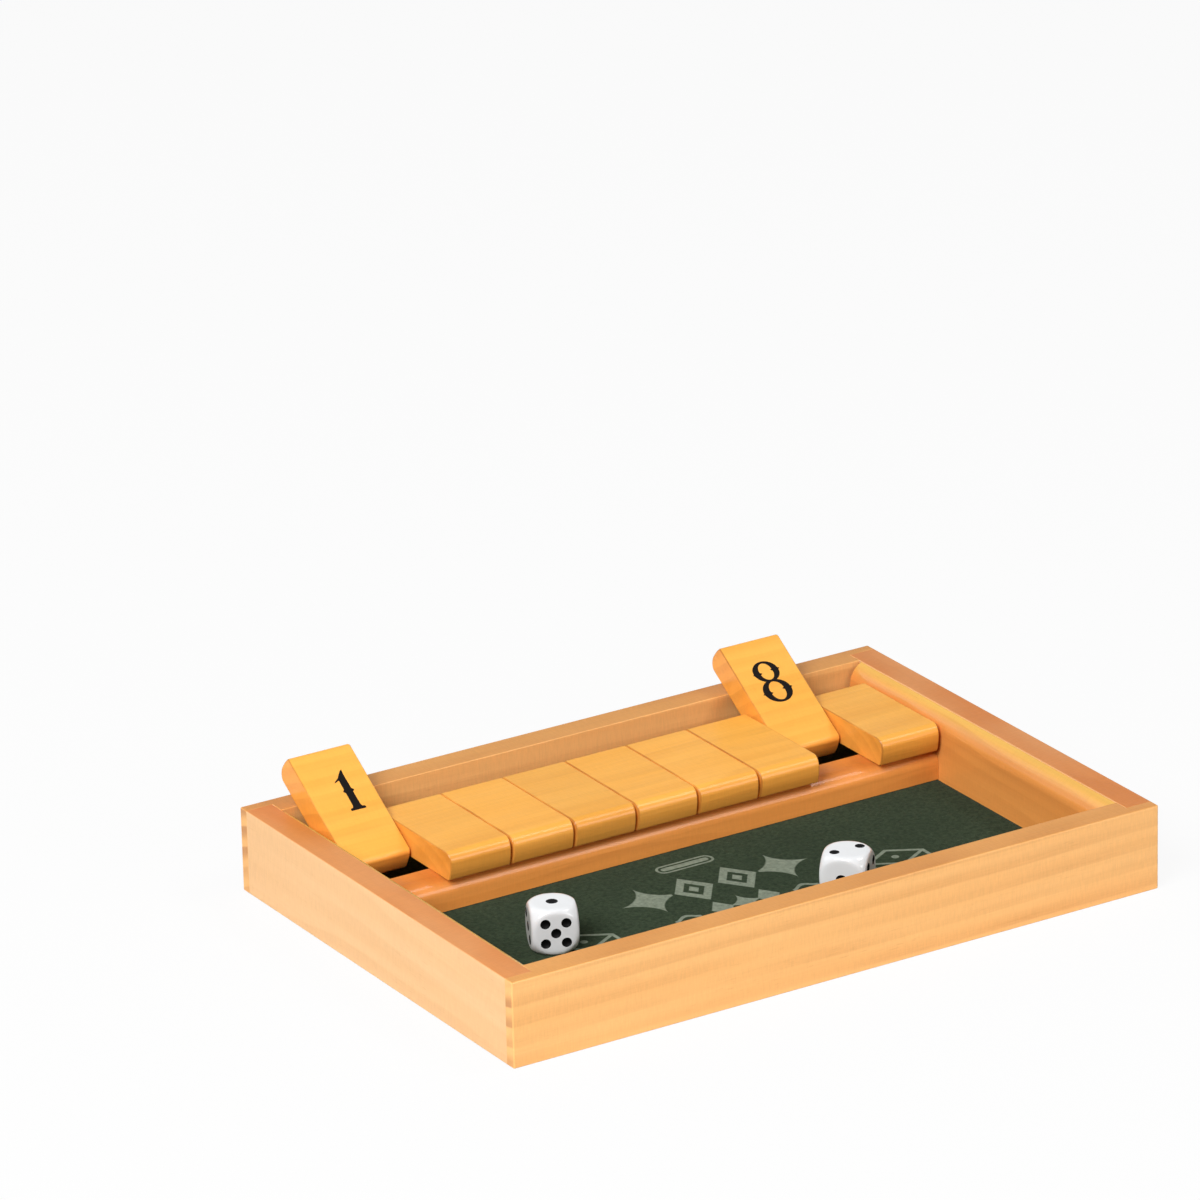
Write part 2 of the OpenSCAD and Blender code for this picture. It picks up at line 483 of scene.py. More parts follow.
@dataclass(frozen=True)
class FeltFinish:
    """Short wool felt with a printed line ornament. Lengths are millimetres."""

    name: str = "green_felt"
    slot: str = "felt"
    ground: Rgb = (58, 71, 52)
    deep: Rgb = (40, 52, 37)
    lint: Rgb = (84, 98, 78)
    print: Rgb = (148, 158, 140)
    fibre: float = 0.4
    mat: float = 1.5
    cloud: float = 26.0

    def material(self) -> Material:
        """Return the finish as a material."""
        made = Coat(self.name, Sheen_Weight=0.04, Sheen_Roughness=0.45, Specular_IOR_Level=0.0)
        w, deep = made.w, linear(self.deep)
        xyz = w.split(w.millimetres(made.place()))
        fibre = w.noise(xyz, [self.fibre] * 3, 3.0, 0.7)
        matted = w.noise(xyz, [self.mat] * 3, 3.0, 0.6)
        cloud = w.noise(xyz, [self.cloud] * 3)
        colour = w.mix(w.remap(matted, 0.35, 0.68), linear(self.ground), deep)
        colour = w.mix(w.remap(cloud, 0.35, 0.7, 0.0, 0.35), colour, deep)
        colour = w.mix(w.remap(fibre, 0.6, 0.78, 0.0, 0.45), colour, linear(self.lint))
        inked = Ornament(w, xyz[0], xyz[1]).mask() * w.remap(matted, 0.3, 0.7, 0.85, 0.5)
        made.paint(w.mix(inked, colour, linear(self.print)), w.remap(fibre, 0.3, 0.7, 0.85, 1.0))
        made.raise_surface(fibre + matted * 0.8, 0.0003, 0.8)
        return made.material


class Ornament:
    """The print on the felt: rows of stars and lozenges between two drawn dice, in millimetres.

    It is the same on both sides of the middle, so each mark is given by its distance from there.
    """

    def __init__(self, w: Wiring, x: Signal, y: Signal) -> None:
        """Keep the wiring, the distance from the middle and the place from front to back."""
        self.w, self.far, self.y = w, abs(x), y

    def _inside(self, distance: Signal) -> Signal:
        """Return 1 where a distance is below zero."""
        return self.w.remap(distance, -0.12, 0.18, 1.0, 0.0)

    def _stroke(self, distance: Signal, width: float) -> Signal:
        """Return 1 within half a width of zero distance."""
        return self._inside(abs(distance) - width / 2)

    @staticmethod
    def _lozenge(a: Signal, b: Signal, half_a: float, half_b: float) -> Signal:
        """Return the distance from a lozenge's outline, negative inside it."""
        return (a / half_a + b / half_b - 1.0) * (half_a * half_b / math.hypot(half_a, half_b))

    def _star(self, a: Signal, b: Signal, reach: float, hollow: float = 0.62) -> Signal:
        """Return 1 inside a star with four hollow sides."""
        return self._inside(a ** hollow + b ** hollow - reach ** hollow)

    def _first_row(self) -> Signal:
        """Return two lozenges within a lozenge, between two stars."""
        inner, high = abs(abs(self.far - 17.0) - 8.5), abs(self.y + 10.0)
        is_outer = self.w.remap(self.far, 16.9, 17.1)
        edge = self._lozenge(inner, high, 7.6, 10.5)
        nested = self._stroke(edge + 1.4, 2.6) | self._inside(edge + 4.6)
        return nested * (1.0 - is_outer) | self._star(inner, high, 11.0) * is_outer

    def _second_row(self) -> Signal:
        """Return a small star between two lozenges and two waves."""
        high = abs(self.y + 28.5)
        wave = self.w.math("SINE", self.far * 0.62) * 1.3
        waves = (self._stroke(self.y + 28.5 - wave, 1.5)
                 * self.w.remap(abs(self.far - 23.0), 4.8, 5.2, 1.0, 0.0))
        return (self._inside(self._lozenge(abs(self.far - 9.0), high, 4.2, 6.0))
                | self._star(self.far, high, 6.5) | waves)

    def _third_row(self) -> Signal:
        """Return a lozenge within a lozenge, between two stars."""
        high = abs(self.y + 46.0)
        edge = self._lozenge(self.far, high, 9.0, 10.5)
        return (self._star(abs(self.far - 20.0), high, 11.0)
                | self._stroke(edge + 1.5, 2.8) | self._inside(edge + 5.0))

    def _pill(self) -> Signal:
        """Return a bar with round ends and a line round it."""
        away = self.w.length(self.far - 8.0 | 0.0, self.y - 9.0)
        return self._stroke(away - 2.6, 0.8) | self._inside(away - 1.2)

    def _drawn_die(self, size: float = 12.5) -> Signal:
        """Return a die seen from its corner, with four pips."""
        side, up = abs(self.far - 61.0), self.y + 32.0
        rim = (side | side * 0.5 + abs(up) * 0.866) - 0.866 * size
        fold = self._stroke(side, 1.2) * self.w.remap(up, -0.1, 0.1, 1.0, 0.0)
        spokes = self._stroke(side * 0.5 - up * 0.866, 1.2) | fold
        drawn = self._stroke(rim, 1.3) | spokes * self._inside(rim)
        for x, y in ((0.0, 0.5), (0.22, -0.05), (0.43, -0.25), (0.65, -0.45)):
            drawn |= self._inside(self.w.length(side - x * size, up - y * size) - 1.25)
        return drawn

    def mask(self) -> Signal:
        """Return 1 where the print is."""
        return (self._first_row() | self._second_row() | self._third_row() | self._pill()
                | self._drawn_die())


@dataclass(frozen=True)
class PolishedFinish:
    """A smooth moulded or painted surface: dice, pip paint and number ink."""

    name: str
    slot: str
    colour: Rgb
    soil: Rgb
    size: float = 0.006
    roughness: float = 0.1
    coat: float = 0.3
    depth: float = 0.00001
    specular: float = 0.5

    def material(self) -> Material:
        """Return the finish as a material."""
        made = Coat(self.name, Specular_IOR_Level=self.specular, Coat_Weight=self.coat,
                    Coat_Roughness=0.05)
        marks = Effects.place(made.w, "handling", {
            "Place": made.place(), "Colour": linear(self.colour), "Soil": linear(self.soil),
            "Size": self.size, "Roughness": self.roughness})
        made.paint(marks["Colour"], marks["Roughness"])
        made.raise_surface(marks["Height"], self.depth, 0.6)
        return made.material


@dataclass(frozen=True)
class SteelFinish:
    """Drawn steel wire with fine lines along X. Lengths are metres."""

    name: str
    slot: str = "rod_steel"
    bright: Rgb = (190, 190, 192)
    dull: Rgb = (132, 130, 128)
    line: Triple = (0.02, 0.00012, 0.00012)
    stain: Triple = (0.008, 0.004, 0.004)

    def material(self) -> Material:
        """Return the finish as a material."""
        made = Coat(self.name, Metallic=1.0)
        w = made.w
        xyz = w.split(made.place())
        lines = w.noise(xyz, self.line, 3.0, 0.6)
        stain = w.noise(xyz, self.stain, 3.0, 0.6)
        made.paint(w.mix(w.remap(stain, 0.4, 0.75), linear(self.bright), linear(self.dull)),
                   w.remap(lines, 0.3, 0.7, 0.22, 0.42))
        made.raise_surface(lines, 0.00001)
        return made.material


@dataclass(frozen=True)
class HardboardFinish:
    """Pressed fibre board, smooth above and below, with dark flecks. Lengths are metres."""

    name: str = "hardboard"
    pale: Rgb = (150, 112, 74)
    dark: Rgb = (98, 68, 42)
    fleck: Triple = (0.0016, 0.0011, 0.0011)
    cloud: Triple = (0.05, 0.04, 0.04)

    def material(self) -> Material:
        """Return the finish as a material."""
        made = Coat(self.name)
        w = made.w
        xyz = w.split(made.place())
        fleck = w.noise(xyz, self.fleck, 4.0, 0.7)
        tone = (w.remap(fleck, 0.35, 0.65, 0.0, 0.7)
                + w.remap(w.noise(xyz, self.cloud), 0.3, 0.7, 0.0, 0.3))
        made.paint(w.mix(tone, linear(self.pale), linear(self.dark)),
                   w.remap(fleck, 0.3, 0.7, 0.6, 0.8))
        made.raise_surface(fleck, 0.00008)
        return made.material


# ---------------------------------------------------------------- meshes


def new_object(name: str, data: bpy.types.ID) -> Object:
    """Return a new object in the scene with a mesh, a light or a camera."""
    made = bpy.data.objects.new(name, data)
    bpy.context.scene.collection.objects.link(made)
    return made


def object_from(name: str, points: Iterable[Sequence[float]],
                faces: Iterable[Sequence[int]]) -> Object:
    """Return a new object made of points and faces.

    Args:
        name: The object's name.
        points: The places of its vertices.
        faces: The vertices of each face, anticlockwise from outside.
    """
    mesh = bpy.data.meshes.new(name)
    mesh.from_pydata([tuple(p) for p in points], [], [tuple(f) for f in faces])
    mesh.update()
    return new_object(name, mesh)


def baked(piece: Object) -> Object:
    """Turn an object's modifiers into plain mesh and return the object.

    Args:
        piece: The object with its modifiers.
    """
    graph = bpy.context.evaluated_depsgraph_get()
    graph.update()
    mesh = bpy.data.meshes.new_from_object(piece.evaluated_get(graph), depsgraph=graph,
                                           preserve_all_data_layers=True)
    old = piece.data
    piece.modifiers.clear()
    piece.data = mesh
    bpy.data.meshes.remove(old)
    mesh.name = piece.name
    return piece


def smoothed(piece: Object, angle: float = 40.0) -> Object:
    """Shade a piece smooth except at sharp edges, with flat faces kept flat, and return it.

    Args:
        piece: The piece.
        angle: The least angle of a sharp edge, in degrees.
    """
    piece.data.shade_smooth()
    piece.data.set_sharp_from_angle(angle=TURN(angle))
    weighted = piece.modifiers.new("flat faces", "WEIGHTED_NORMAL")
    weighted.keep_sharp = True
    weighted.weight = 80
    return baked(piece)


def note(mesh: Mesh, name: str, values: Sequence[float], kind: str = "FLOAT") -> None:
    """Write an attribute of a mesh's vertices.

    Args:
        mesh: The mesh.
        name: The attribute's name.
        values: Its values, three for each vertex where it is a vector.
        kind: Its data type.
    """
    key = "vector" if kind == "FLOAT_VECTOR" else "value"
    mesh.attributes.new(name, kind, "POINT").data.foreach_set(key, values)


def mark(piece: Object, heart: Triple, tone: float, slope: float = 0.0,
         grain: Grain = Grain.ALONG_X) -> None:
    """Write a board's place in its log and its tone onto its vertices.

    Args:
        piece: The board.
        heart: The log's centre, in the material's along, across and up, in metres.
        tone: Lighter above zero and darker below, from -1 to 1.
        slope: How much the log's centre climbs along the board.
        grain: The direction of the grain.
    """
    mesh, (along, across, up) = piece.data, heart
    axis = 0 if grain is Grain.ALONG_X else 1
    hearts = [part for v in mesh.vertices for part in (along, across, up + slope * v.co[axis])]
    note(mesh, "heart", hearts, "FLOAT_VECTOR")
    note(mesh, "tone", [tone] * len(mesh.vertices))


def dress(piece: Object, finish: Any, material: Material, body: str,
          *nodes: str) -> None:
    """Give a piece its material and body, and hide the CAD nodes it stands for.

    Args:
        piece: The piece.
        finish: Its finish; not used.
        material: The finish's material, for a piece that has none yet.
        body: The body it moves with.
        nodes: The CAD nodes it replaces.
    """
    if len(piece.data.materials) == 0:
        piece.data.materials.append(material)
    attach(piece, body)
    if nodes:
        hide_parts(*nodes)
    log.info("%s: %d faces on %s", piece.name, len(piece.data.polygons), body)


def arc_points(arcs: Iterable[Arc], step: float) -> list[Arc]:
    """Turn an outline of arcs, joined by straight lines, into points with their outward direction.

    Args:
        arcs: Centre across and up, radius, and start and end angle in degrees, anticlockwise.
        step: The most that two points on an arc are apart, in degrees.

    Returns:
        For each point its centre's two coordinates, radius and direction's two coordinates.
    """
    made = []
    for a, b, radius, start, end in arcs:
        count = max(2, math.ceil((end - start) / step))
        for i in range(count + 1):
            angle = TURN(start + (end - start) * i / count)
            made.append((a, b, radius, math.cos(angle), math.sin(angle)))
    return made


def ring_faces(rings: int, count: int, start: int = 0) -> list[list[int]]:
    """Return the faces of a closed stack of rings of points.

    Args:
        rings: How many rings there are.
        count: The points of each.
        start: The index of the first point.
    """
    last = start + (rings - 1) * count
    sides = [[s + i, s + (i + 1) % count, s + count + (i + 1) % count, s + count + i]
             for s in range(start, last, count) for i in range(count)]
    return [*sides, list(range(start, start + count))[::-1], list(range(last, last + count))]


def turned_out(piece: Object) -> Object:
    """Turn the faces of a closed piece outwards and return it."""
    mesh = bmesh.new()
    mesh.from_mesh(piece.data)
    bmesh.ops.recalc_face_normals(mesh, faces=mesh.faces)
    mesh.to_mesh(piece.data)
    mesh.free()
    return piece


def moulded_bar(name: str, arcs: Sequence[Arc], length: float, ease: float,
                to_world: Callable[[float, float, float], Vector], step: float,
                wider: Callable[[float], float] = lambda across: 1.0,
                narrow: float = 0.0) -> Object:
    """Sweep a convex outline of arcs along a line, with eased ends.

    Args:
        name: The object's name.
        arcs: The outline, in millimetres.
        length: The bar's length in millimetres.
        ease: The radius of the round at its ends, at most the outline's smallest radius.
        to_world: Turns a place along, across and up, in millimetres, into metres.
        step: The outline's step in degrees.
        wider: How many times wider the round is where the outline is that far across.
        narrow: How much shorter each end is where the round is twice as wide, in millimetres.

    Returns:
        The bar, with an edge attribute that is 1 on its rounds of less than a millimetre.
    """
    outline = arc_points(arcs, step)
    ends = [(ease * (1 - math.cos(t)), ease * (1 - math.sin(t)))
            for t in (TURN(90 * i / END_STEPS) for i in range(END_STEPS + 1))]
    both = [(0.0, 1.0, *end) for end in ends] + [(length, -1.0, *end) for end in reversed(ends)]
    points, wear_and_light_share = [], []
    for index, (start, way, along, inset) in enumerate(both):
        is_round = 0 < index % len(ends) < END_STEPS
        for a, b, radius, da, db in outline:
            more = wider(a + radius * da)
            r = radius - inset * more
            inwards = along * more + narrow * (more - 1.0)
            points.append(to_world(start + way * inwards, a + r * da, b + r * db))
            # Rounds take the edge colour of worn lacquer and painted light
            wear_and_light_share.append(float(is_round or radius < 1.0))
    piece = turned_out(object_from(name, points, ring_faces(len(both), len(outline))))
    note(piece.data, "edge", wear_and_light_share)
    return piece


class PieceTree:
    """A Geometry Nodes tree with named inputs, which changes the pieces that are run through it."""

    name: str
    inputs: dict[str, str]

    def __init__(self) -> None:
        """Build the tree."""
        self.tree = bpy.data.node_groups.new(self.name, "GeometryNodeTree")
        self.tree.is_modifier = True
        add_sockets(self.tree, {"Geometry": "geometry", **self.inputs}, {"Geometry": "geometry"})
        w = Wiring(self.tree)
        w.give({"Geometry": self.wire(w, w.given())})

    def wire(self, w: Wiring, given: Given) -> Signal:
        """Add the tree's nodes and return what comes out."""
        raise NotImplementedError

    @staticmethod
    def coated(w: Wiring, geometry: Signal, finish: Signal) -> Signal:
        """Return geometry as plain mesh with a material."""
        whole = w.out("GeometryNodeRealizeInstances", {"Geometry": geometry})
        return w.out("GeometryNodeSetMaterial", {"Geometry": whole, "Material": finish})

    def run(self, piece: Object, values: dict[str, Any]) -> Object:
        """Run a piece through the tree, keep the result as plain mesh and return the piece.

        Args:
            piece: The piece.
            values: Values of the tree's inputs, by name.
        """
        modifier = piece.modifiers.new(self.tree.name, "NODES")
        modifier.node_group = self.tree
        for item in self.tree.interface.items_tree:
            if item.in_out == "INPUT" and item.name in values:
                modifier[item.identifier] = values[item.name]
        return baked(piece)


class BoreTree(PieceTree):
    """Bores a hole along X through a piece, then turns it about X and puts it in its place."""

    name = "bored_for_the_rod"
    inputs = {"Bore radius": "value", "Bore length": "value", "Bore place": "vector",
              "Place": "vector", "Turn": "turn", "Finish": "material"}

    def wire(self, w: Wiring, given: Given) -> Signal:
        """Add the tree's nodes and return what comes out."""
        peg = w.out("GeometryNodeMeshCylinder", {
            "Vertices": 48, "Radius": given["Bore radius"], "Depth": given["Bore length"]})
        laid = w.out("GeometryNodeTransform", {
            "Geometry": peg, "Translation": given["Bore place"], "Rotation": (0.0, TURN(90), 0.0)})
        cut = w.out("GeometryNodeMeshBoolean", {"Mesh 1": given["Geometry"], "Mesh 2": laid},
                    operation="DIFFERENCE", solver="EXACT")
        moved = w.out("GeometryNodeTransform", {
            "Geometry": cut, "Translation": given["Place"], "Rotation": given["Turn"]})
        return self.coated(w, moved, given["Finish"])


# ---------------------------------------------------------------- sub-assemblies


@dataclass(frozen=True)
class Sizes:
    """The game's named sizes in millimetres, as in the part's source."""

    tray_l: float = 250.0
    tray_w: float = 173.0
    tray_h: float = 30.0
    rail_t: float = 10.0
    liner_t: float = 5.0
    liner_round_r: float = 8.0
    liner_back_gap: float = 1.3
    board_top: float = 5.0
    felt_top: float = 5.8
    tile_gap: float = 0.4
    end_gap: float = 0.9
    tile_l: float = 48.8
    tile_t: float = 10.0
    tile_tail: float = 12.4
    end_r: float = 3.6
    end_sweep_r: float = 16.0
    pivot_y: float = 54.7
    pivot_z: float = 21.9
    pivot_back: float = 21.8
    rod_r: float = 1.5
    rest_d: float = 12.4
    rest_front_y: float = 20.8
    rest_top_z: float = 16.8
    rest_round_r: float = 5.5
    die_s: float = 16.0
    die_ball_r: float = 10.9
    pip_r: float = 1.7
    one_pip_r: float = 2.0
    pip_depth: float = 0.7
    pip_offset: float = 3.46

    @property
    def wall_x(self) -> float:
        """Return the inner face of a liner."""
        return self.tray_l / 2 - self.rail_t - self.liner_t

    @property
    def inner_y(self) -> float:
        """Return the inner face of a front or back rail."""
        return self.tray_w / 2 - self.rail_t

    @property
    def tile_pitch(self) -> float:
        """Return the distance from one tile to the next."""
        return (2 * self.wall_x - 2 * self.end_gap + self.tile_gap) / 9

    @property
    def open_angle(self) -> float:
        """Return the angle of an open tile above the horizontal, in degrees."""
        rise = self.tray_h - self.pivot_z
        reach = math.hypot(self.pivot_back, rise)
        return math.degrees(math.atan2(rise, self.pivot_back)
                            + math.asin((self.tile_t / 2 + 0.1) / reach))


@dataclass
class Tray:
    """The four rails, the liners, the tile rest and the floor board."""

    sizes: Sizes
    bores: BoreTree
    # The top tints below are painted light: shade on the tops of the rails and the rest, a
    # highlight on the liners' rounds
    rails: WoodFinish = WoodFinish("rail_pine", "rail_wood", (251, 194, 124), (247, 184, 112),
                                   (208, 138, 74), ring=6.65, drift=4.0, rings=0.5, streaks=0.2,
                                   fibres=0.42, end_stain=0.1, painted_top_light=(0.66, 0.52, 0.32))
    sides: WoodFinish = WoodFinish("side_rail_pine", "side_rail_wood", (235, 190, 138),
                                   (229, 181, 126), (200, 146, 92), grain=Grain.ALONG_Y,
                                   ring=8.0, rings=0.3, streaks=0.16, fibres=0.42,
                                   painted_top_light=(0.73, 0.37, 0.12))
    liners: WoodFinish = WoodFinish("liner_pine", "liner_wood", (231, 155, 80), (223, 145, 72),
                                    (182, 104, 46), grain=Grain.ALONG_Y, ring=5.0, rings=0.3,
                                    coat=0.6, coat_roughness=0.1, painted_top_light=(0.95, 1.45, 1.3))
    rest: WoodFinish = WoodFinish("rest_pine", "rest_wood", (245, 160, 80), (240, 152, 70),
                                  (196, 110, 48), ring=5.0, rings=0.3, coat=0.6,
                                  coat_roughness=0.14, painted_top_light=(0.7, 0.62, 0.55))
    board: HardboardFinish = HardboardFinish()
    outer_ease: float = 0.5
    corner_ease: float = 0.6
    inner_ease: float = 0.35
    seam_ease: float = 0.12
    shortest_eased: float = 1.2
    bluntest_eased: float = 60.0
    shortest_long: float = 200.0
    small_r: float = 0.2
    rest_back_r: float = 0.5
    liner_ease: float = 0.18
    rest_ease: float = 0.12
    seat_play: float = 0.05
    outline_step: float = 4.0

    def build(self) -> None:
        """Build and dress every fixed wooden piece."""
        self._rails()
        self._liners()
        self._rest()
        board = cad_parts["base_board"]
        board.data.materials.clear()
        board.data.materials.append(self.board.material())
        log.info("base_board: dressed")

    def _edge_ease(self, edge: bmesh.types.BMEdge) -> float:
        """Return how far an edge of a merged rail is eased, in millimetres."""
        s, length = self.sizes, edge.calc_length() / MM
        if len(edge.link_faces) != 2 or not edge.is_convex or length < self.shortest_eased:
            return 0.0
        if edge.calc_face_angle() < TURN(self.bluntest_eased):
            return 0.0
        ends = [v.co / MM for v in edge.verts]

        def on(axis: int, level: float) -> bool:
            """Return whether both ends lie at a distance from the middle along an axis."""
            return all(abs(abs(end[axis]) - level) < 0.01 for end in ends)

        outer = on(0, s.tray_l / 2), on(1, s.tray_w / 2)
        if all(outer):
            return self.corner_ease
        if any(outer) and (on(2, s.tray_h) or on(2, 0)):
            return self.outer_ease
        if on(2, s.tray_h) and length > self.shortest_long:
            return self.outer_ease * 0.7
        if on(2, s.tray_h) and on(0, s.tray_l / 2 - s.rail_t):
            return self.inner_ease
        return self.seam_ease

    def _eased_rail(self, node: str) -> Object:
        """Return a copy of a rail's CAD node with its triangles merged and its edges eased.

        Args:
            node: The node's name.
        """
        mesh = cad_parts[node].data.copy()
        mesh.materials.clear()
        for _ in range(2):
            mesh.materials.append(None)
        work = bmesh.new()
        work.from_mesh(mesh)
        bmesh.ops.remove_doubles(work, verts=work.verts, dist=0.001 * MM)
        bmesh.ops.dissolve_limit(work, angle_limit=TURN(0.5), verts=work.verts, edges=work.edges)
        weights = work.edges.layers.float.new("bevel_weight_edge")
        for edge in work.edges:
            edge[weights] = self._edge_ease(edge) / self.corner_ease
        for face in work.faces:
            face.material_index = 0
        work.to_mesh(mesh)
        work.free()
        piece = new_object(f"{node}_eased", mesh)
        ease = piece.modifiers.new("ease", "BEVEL")
        ease.limit_method, ease.width = "WEIGHT", self.corner_ease * MM
        ease.segments, ease.material = 4, 1
        mesh = baked(piece).data

        # How much of the faces round a vertex is eased, which is where the lacquer wears and where
        # painted light along the edges goes
        around = [[0, 0] for _ in mesh.vertices]
        for face in mesh.polygons:
            for v in face.vertices:
                around[v][face.material_index == 1] += 1
        note(mesh, "edge", [eased / (flat + eased) if eased else 0.0 for flat, eased in around])
        mesh.polygons.foreach_set("material_index", [0] * len(mesh.polygons))
        mesh.materials.clear()
        return smoothed(piece)

    def _rails(self) -> None:
        """Build the four rails."""
        rails = (self.rails, self.rails.material(), {
            "front_rail": ((0.02, -0.070, 0.0862), 0.0, 0.004),
            "back_rail": ((0.31, 0.055, -0.060), -0.5, -0.02)})
        sides = (self.sides, self.sides.material(), {
            "left_rail": ((0.11, -0.040, -0.120), 0.4, 0.03),
            "right_rail": ((0.53, 0.040, -0.120), 0.2, -0.03)})
        for finish, material, cuts in (rails, sides):
            for node, (heart, tone, slope) in cuts.items():
                piece = self._eased_rail(node)
                mark(piece, heart, tone, slope, finish.grain)
                dress(piece, finish, material, "tray", node)

    def _liners(self) -> None:
        """Build the two moulded liners with the rod's seats."""
        s, small, material = self.sizes, self.small_r, self.liners.material()
        r, up = s.liner_round_r, s.tray_h + 0.4 - s.board_top - s.liner_round_r
        reach = math.sqrt((r - small) ** 2 - (r - s.liner_t + small) ** 2)
        crown = math.degrees(math.atan2(reach, s.liner_t - small - r))
        arcs = [(small, small, small, 180, 270), (s.liner_t - small, small, small, 270, 360),
                (s.liner_t - small, up + reach, small, 0, crown), (r, up, r, crown, 180)]
        for side, name in ((-1, "left_liner"), (1, "right_liner")):
            def to_world(along: float, across: float, high: float, side: int = side) -> Vector:
                """Return a liner's point in the world."""
                return Vector((side * (s.wall_x + across), along - s.inner_y,
                               s.board_top + high)) * MM

            piece = moulded_bar(f"{name}_moulded", arcs, 2 * s.inner_y - s.liner_back_gap,
                                self.liner_ease, to_world, self.outline_step)
            seat = Vector((side * (s.wall_x + s.liner_t / 2), s.pivot_y, s.pivot_z)) * MM
            self.bores.run(piece, {"Bore radius": (s.rod_r + self.seat_play) * MM,
                                   "Bore length": 3 * s.liner_t * MM, "Bore place": seat,
                                   "Finish": material})
            smoothed(piece)
            mark(piece, (0.2 * side, side * 0.09, -0.03), 0.3 * side)
            dress(piece, self.liners, material, "tray", name)

    def _rest(self) -> None:
        """Build the bar that carries the shut tiles."""
        s, small, back = self.sizes, self.small_r, self.rest_back_r
        height, deep, r = s.rest_top_z - s.felt_top, s.rest_d, s.rest_round_r
        arcs = [(small, small, small, 180, 270), (deep - small, small, small, 270, 360),
                (deep - back, height - back, back, 0, 90), (r, height - r, r, 90, 180)]

        def to_world(along: float, across: float, high: float) -> Vector:
            """Return the rest's point in the world."""
            return Vector((along - s.wall_x, s.rest_front_y + across, s.felt_top + high)) * MM

        piece = smoothed(moulded_bar("tile_rest_moulded", arcs, 2 * s.wall_x, self.rest_ease,
                                     to_world, self.outline_step))
        mark(piece, (0.4, 0.02, -0.05), 0.0)
        dress(piece, self.rest, self.rest.material(), "tray", "tile_rest")


@dataclass
class HingeRod:
    """The steel rod that all the tiles turn on."""

    sizes: Sizes
    finish: SteelFinish = SteelFinish("drawn_steel")
    sides: int = 48
    chamfer: float = 0.35
    seat: float = 3.0

    def build(self) -> None:
        """Build the rod with chamfered ends."""
        s = self.sizes
        half, thin = s.tray_l / 2 - s.rail_t + self.seat, s.rod_r - self.chamfer
        profile = [(-half, thin), (-half + self.chamfer, s.rod_r),
                   (half - self.chamfer, s.rod_r), (half, thin)]
        turns = [TURN(360 * i / self.sides) for i in range(self.sides)]
        points = [Vector((x, s.pivot_y + r * math.cos(t), s.pivot_z + r * math.sin(t))) * MM
                  for x, r in profile for t in turns]
        faces = ring_faces(len(profile), self.sides)
        piece = smoothed(turned_out(object_from("hinge_rod_drawn", points, faces)))
        dress(piece, self.finish, self.finish.material(), "tray", "hinge_rod")


@dataclass(frozen=True)
class Numeral:
    """An old-style numeral of strokes, balls and pointed spurs, in millimetres about its middle."""

    strokes: tuple[Stroke, ...] = ()
    balls: tuple[Triple, ...] = ()
    blocks: tuple[tuple[Point2, ...], ...] = ()

    def outlines(self) -> list[list[Point2]]:
        """Return closed outlines that overlap and together make the numeral."""
        made = [list(block) for block in self.blocks]
        for x, y, r in self.balls:
            made.append([(x + r * math.cos(TURN(15 * i)), y + r * math.sin(TURN(15 * i)))
                         for i in range(24)])
        for stroke in self.strokes:
            made.extend(self._ribbon(stroke))
        return [outline if self._turns_left(outline) else outline[::-1] for outline in made]

    @staticmethod
    def _turns_left(outline: list[Point2]) -> bool:
        """Return whether an outline runs anticlockwise."""
        pairs = zip(outline, outline[1:] + outline[:1])
        return sum(a[0] * b[1] - b[0] * a[1] for a, b in pairs) > 0

    @staticmethod
    def _ribbon(stroke: Stroke, parts: int = 6, run: int = 24) -> list[list[Point2]]:
        """Return short overlapping pieces that follow a stroke's smooth middle line.

        Args:
            stroke: Places on the line, each with the stroke's half width there.
            parts: The steps between two places.
            run: The steps in one piece.
        """
        path = []
        for i in range(len(stroke) - 1):
            before, a, b, after = (Vector(stroke[min(max(k, 0), len(stroke) - 1)])
                                   for k in range(i - 1, i + 3))
            for k in range(parts):
                t = k / parts
                path.append(0.5 * (2 * a + (b - before) * t
                                   + (2 * before - 5 * a + 4 * b - after) * t * t
                                   + (3 * a - before - 3 * b + after) * t ** 3))
        path.append(Vector(stroke[-1]))
        sides = []
        for i, p in enumerate(path):
            q, r = path[max(i - 1, 0)], path[min(i + 1, len(path) - 1)]
            along = Vector((r.x - q.x, r.y - q.y)).normalized()
            sides.append(((p.x - along.y * p.z, p.y + along.x * p.z),
                          (p.x + along.y * p.z, p.y - along.x * p.z)))
        pieces = (sides[k:k + run + 2] for k in range(0, len(sides) - 1, run))
        return [[left for left, _ in reversed(piece)] + [right for _, right in piece]
                for piece in pieces]


def oval(x: float, y: float, rx: float, ry: float, thick: float, thin: float, start: float = 0.0,
         end: float = 366.0, steps: int = 16) -> Stroke:
    """Return an oval stroke that is thick at its sides and thin above and below.

    Args:
        x: Its middle across.
        y: Its middle up.
        rx: Its outer half width.
        ry: Its outer half height.
        thick: The stroke's width at the sides.
        thin: The stroke's width above and below.
        start: The angle it starts at, in degrees.
        end: The angle it ends at.
        steps: The places that it is made of.
    """
    made = []
    for i in range(steps + 1):
        a = TURN(start + (end - start) * i / steps)
        c, s = math.cos(a), math.sin(a)
        half = (thin + (thick - thin) * abs(c) ** 1.6) / 2
        made.append((x + (rx - half) * c, y + (ry - half) * s, half))
    return tuple(made)


